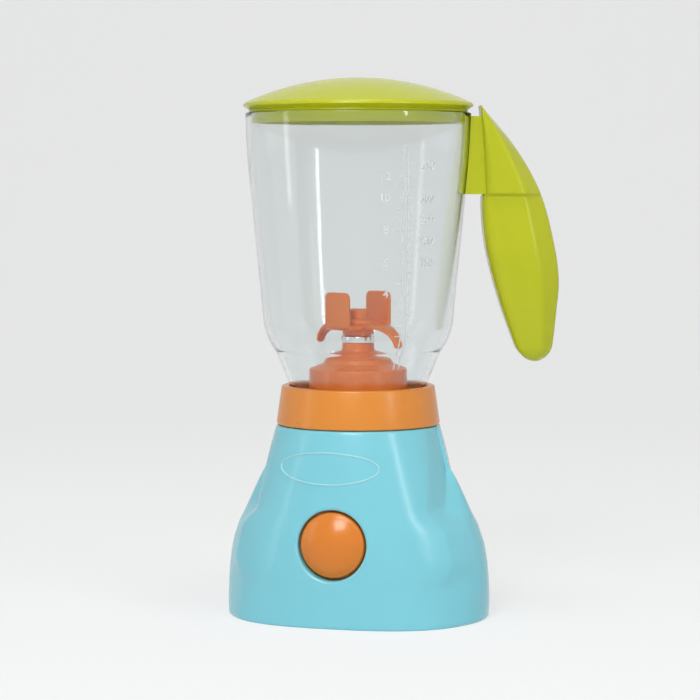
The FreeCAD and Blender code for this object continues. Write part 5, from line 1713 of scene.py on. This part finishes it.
@dataclass
class Studio:
    """A pale floor that rises into a backdrop, soft lamps, and the camera."""
    floor_colour: str = "#F1F2F3"
    floor_mottle_mm: float = 60.0
    floor_front_y: float = -2600.0
    floor_near_y: float = -600.0
    floor_bend_y: float = 900.0
    floor_bend_radius: float = 900.0
    floor_top_z: float = 4200.0
    floor_half_width: float = 3200.0
    white_share: float = 0.6
    fill: float = 0.26
    azimuth: float = 16.0
    elevation: float = 4.0
    distance: float = 1.18
    focal_px: float = 2492.0
    image_px: float = 700.0
    sensor_mm: float = 36.0
    aim_z_mm: float = 125.5
    aim_left_mm: float = 3.9

    def world(self) -> None:
        """White where it is seen or mirrored, and an even pale fill for everything else."""
        world = bpy.data.worlds.new("studio_world")
        world.use_nodes = True
        tree = world.node_tree
        tree.nodes.clear()
        seen = self.seen(tree)
        fill = add_node(tree, "ShaderNodeBackground", {"Color": linear("#F4F6F8"), "Strength": self.fill})
        white = add_node(tree, "ShaderNodeBackground", {"Color": linear("#FFFFFF"), "Strength": 1.0})
        mix = add_node(tree, "ShaderNodeMixShader", {}, {
            0: seen, 1: fill.outputs["Background"], 2: white.outputs["Background"]})
        add_node(tree, "ShaderNodeOutputWorld", {}, {"Surface": mix.outputs["Shader"]})
        bpy.context.scene.world = world

    @staticmethod
    def seen(tree: bpy.types.NodeTree) -> bpy.types.NodeSocket:
        """1 for rays from the camera, from a mirror or through glass, and 0 for the rest.

        Args:
            tree: The node tree that gets the nodes.

        Returns:
            The value's socket.
        """
        path = add_node(tree, "ShaderNodeLightPath")
        either = add_node(tree, "ShaderNodeMath", {"operation": "MAXIMUM"}, {
            0: path.outputs["Is Camera Ray"], 1: path.outputs["Is Glossy Ray"]})
        return add_node(tree, "ShaderNodeMath", {"operation": "MAXIMUM"}, {
            0: either.outputs["Value"], 1: path.outputs["Is Transmission Ray"]}).outputs["Value"]

    def floor(self) -> None:
        """A sheet that lies flat under the part and bends up behind it."""
        turn = np.linspace(0, np.pi / 2, 24)[1:]
        bend, radius = self.floor_bend_y, self.floor_bend_radius
        line = np.concatenate([
            [(self.floor_front_y, 0.0), (self.floor_near_y, 0.0), (bend, 0.0)],
            np.stack([bend + radius * np.sin(turn), radius - radius * np.cos(turn)], axis=1),
            [(bend + radius, self.floor_top_z)]])
        across = np.linspace(-self.floor_half_width, self.floor_half_width, 9)
        grid = np.stack([across[None, :] + 0 * line[:, :1], line[:, :1] + 0 * across[None, :],
                         line[:, 1:] + 0 * across[None, :]], axis=-1)
        grid = turned_about_z(grid, self.azimuth)
        sheet = Skin(grid, columns_closed=False)
        mesh = bpy.data.meshes.new("studio_floor")
        mesh.from_pydata((grid.reshape(-1, 3) * MM).tolist(), [], sheet.faces().tolist())
        mesh.shade_smooth()
        material = new_material("painted_studio_floor")
        tree = material.node_tree
        place = add_node(tree, "ShaderNodeTexCoord").outputs["Object"]
        mottle = add_node(tree, "ShaderNodeTexNoise",
                          {"Scale": pattern_scale(self.floor_mottle_mm), "Detail": 3.0}, {"Vector": place})
        tint = add_node(tree, "ShaderNodeMix", {
            "data_type": "RGBA", 6: scaled(self.floor_colour, 0.985), 7: scaled(self.floor_colour, 1.0)},
            {0: mottle.outputs["Fac"]})
        matt = add_node(tree, "ShaderNodeBsdfPrincipled", {"Roughness": 0.75, "IOR": 1.4},
                        {"Base Color": tint.outputs[2]})
        white = add_node(tree, "ShaderNodeEmission", {"Color": linear("#FFFFFF"), "Strength": 1.0})
        share = add_node(tree, "ShaderNodeMath", {"operation": "MULTIPLY", 1: self.white_share},
                         {0: self.seen(tree)})
        mix = add_node(tree, "ShaderNodeMixShader", {}, {
            0: share.outputs["Value"], 1: matt.outputs["BSDF"], 2: white.outputs["Emission"]})
        add_node(tree, "ShaderNodeOutputMaterial", {}, {"Surface": mix.outputs["Shader"]})
        mesh.materials.append(material)
        floor = bpy.data.objects.new("studio_floor", mesh)
        bpy.context.scene.collection.objects.link(floor)

    def stand(self, item: bpy.types.Object, target: Vector, azimuth: float, elevation: float,
              distance: float) -> None:
        """Stands an object off a target, turns it that way and adds it to the scene.

        Args:
            item: The lamp or camera.
            target: What it points at, in metres.
            azimuth: Its direction from the target in degrees, from the front towards +X.
            elevation: Its direction's rise in degrees.
            distance: Its distance in metres.
        """
        item.location = target + self.direction(azimuth, elevation) * distance
        item.rotation_euler = (target - item.location).to_track_quat("-Z", "Y").to_euler()
        bpy.context.scene.collection.objects.link(item)

    def lamp(self, lamp: Lamp) -> None:
        """Sets up one lamp.

        Args:
            lamp: Its sizes, its place and its power.
        """
        light = bpy.data.lights.new(lamp.name, "AREA")
        light.shape = "RECTANGLE"
        light.size = lamp.width
        light.size_y = lamp.height
        light.energy = lamp.power
        self.stand(bpy.data.objects.new(lamp.name, light), Vector((0.0, 0.0, self.aim_z_mm * MM)),
                   lamp.azimuth, lamp.elevation, lamp.distance)

    @staticmethod
    def direction(azimuth: float, elevation: float) -> Vector:
        """Unit vector from the part towards a place in front of it, to its right and above."""
        turn, rise = np.radians(azimuth), np.radians(elevation)
        return Vector((float(np.sin(turn) * np.cos(rise)), float(-np.cos(turn) * np.cos(rise)),
                       float(np.sin(rise))))

    def camera(self) -> None:
        """The camera: long lens, a little above the part's middle and to its right."""
        data = bpy.data.cameras.new("view")
        data.sensor_width = self.sensor_mm
        data.lens = self.sensor_mm * self.focal_px / self.image_px
        item = bpy.data.objects.new("view", data)
        turn = np.radians(self.azimuth)
        right = Vector((float(np.cos(turn)), float(np.sin(turn)), 0.0))
        target = Vector((0.0, 0.0, self.aim_z_mm * MM)) - right * (self.aim_left_mm * MM)
        self.stand(item, target, self.azimuth, self.elevation, self.distance)
        bpy.context.scene.camera = item

    def build(self) -> None:
        """Sets up the floor, the world, the lamps and the camera."""
        bpy.context.scene.view_settings.view_transform = "Standard"
        self.world()
        self.floor()
        for lamp in LAMPS:
            self.lamp(lamp)
        self.camera()


def dress_frame(frame: dict, shop: Workshop) -> None:
    """Gives every CAD node that stays visible its finish.

    Args:
        shop: The workshop that holds the materials.
    """
    for name, finish in CAD_FINISHES.items():
        node = frame["nodes"][name]
        material = shop.material(finish)
        if not node.material_slots:
            node.data.materials.append(material)
        for slot in node.material_slots:
            slot.material = material
        LOG.info("%s: %s", name, finish.name)


def main() -> None:
    """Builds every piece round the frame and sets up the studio."""
    logging.basicConfig(level=logging.INFO, format="%(name)s %(message)s")
    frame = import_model()
    shop = Workshop()
    dress_frame(frame, shop)
    Base().build(shop)
    Button().build(shop)
    Collar().build(shop)
    jar = JarBody()
    jar.build(shop)
    BladeSeat().build(shop)
    BladeRotor().build(shop)
    Handle().build(shop, jar)
    Lid().build(shop)
    Studio().build()


if __name__ == "__main__":
    main()
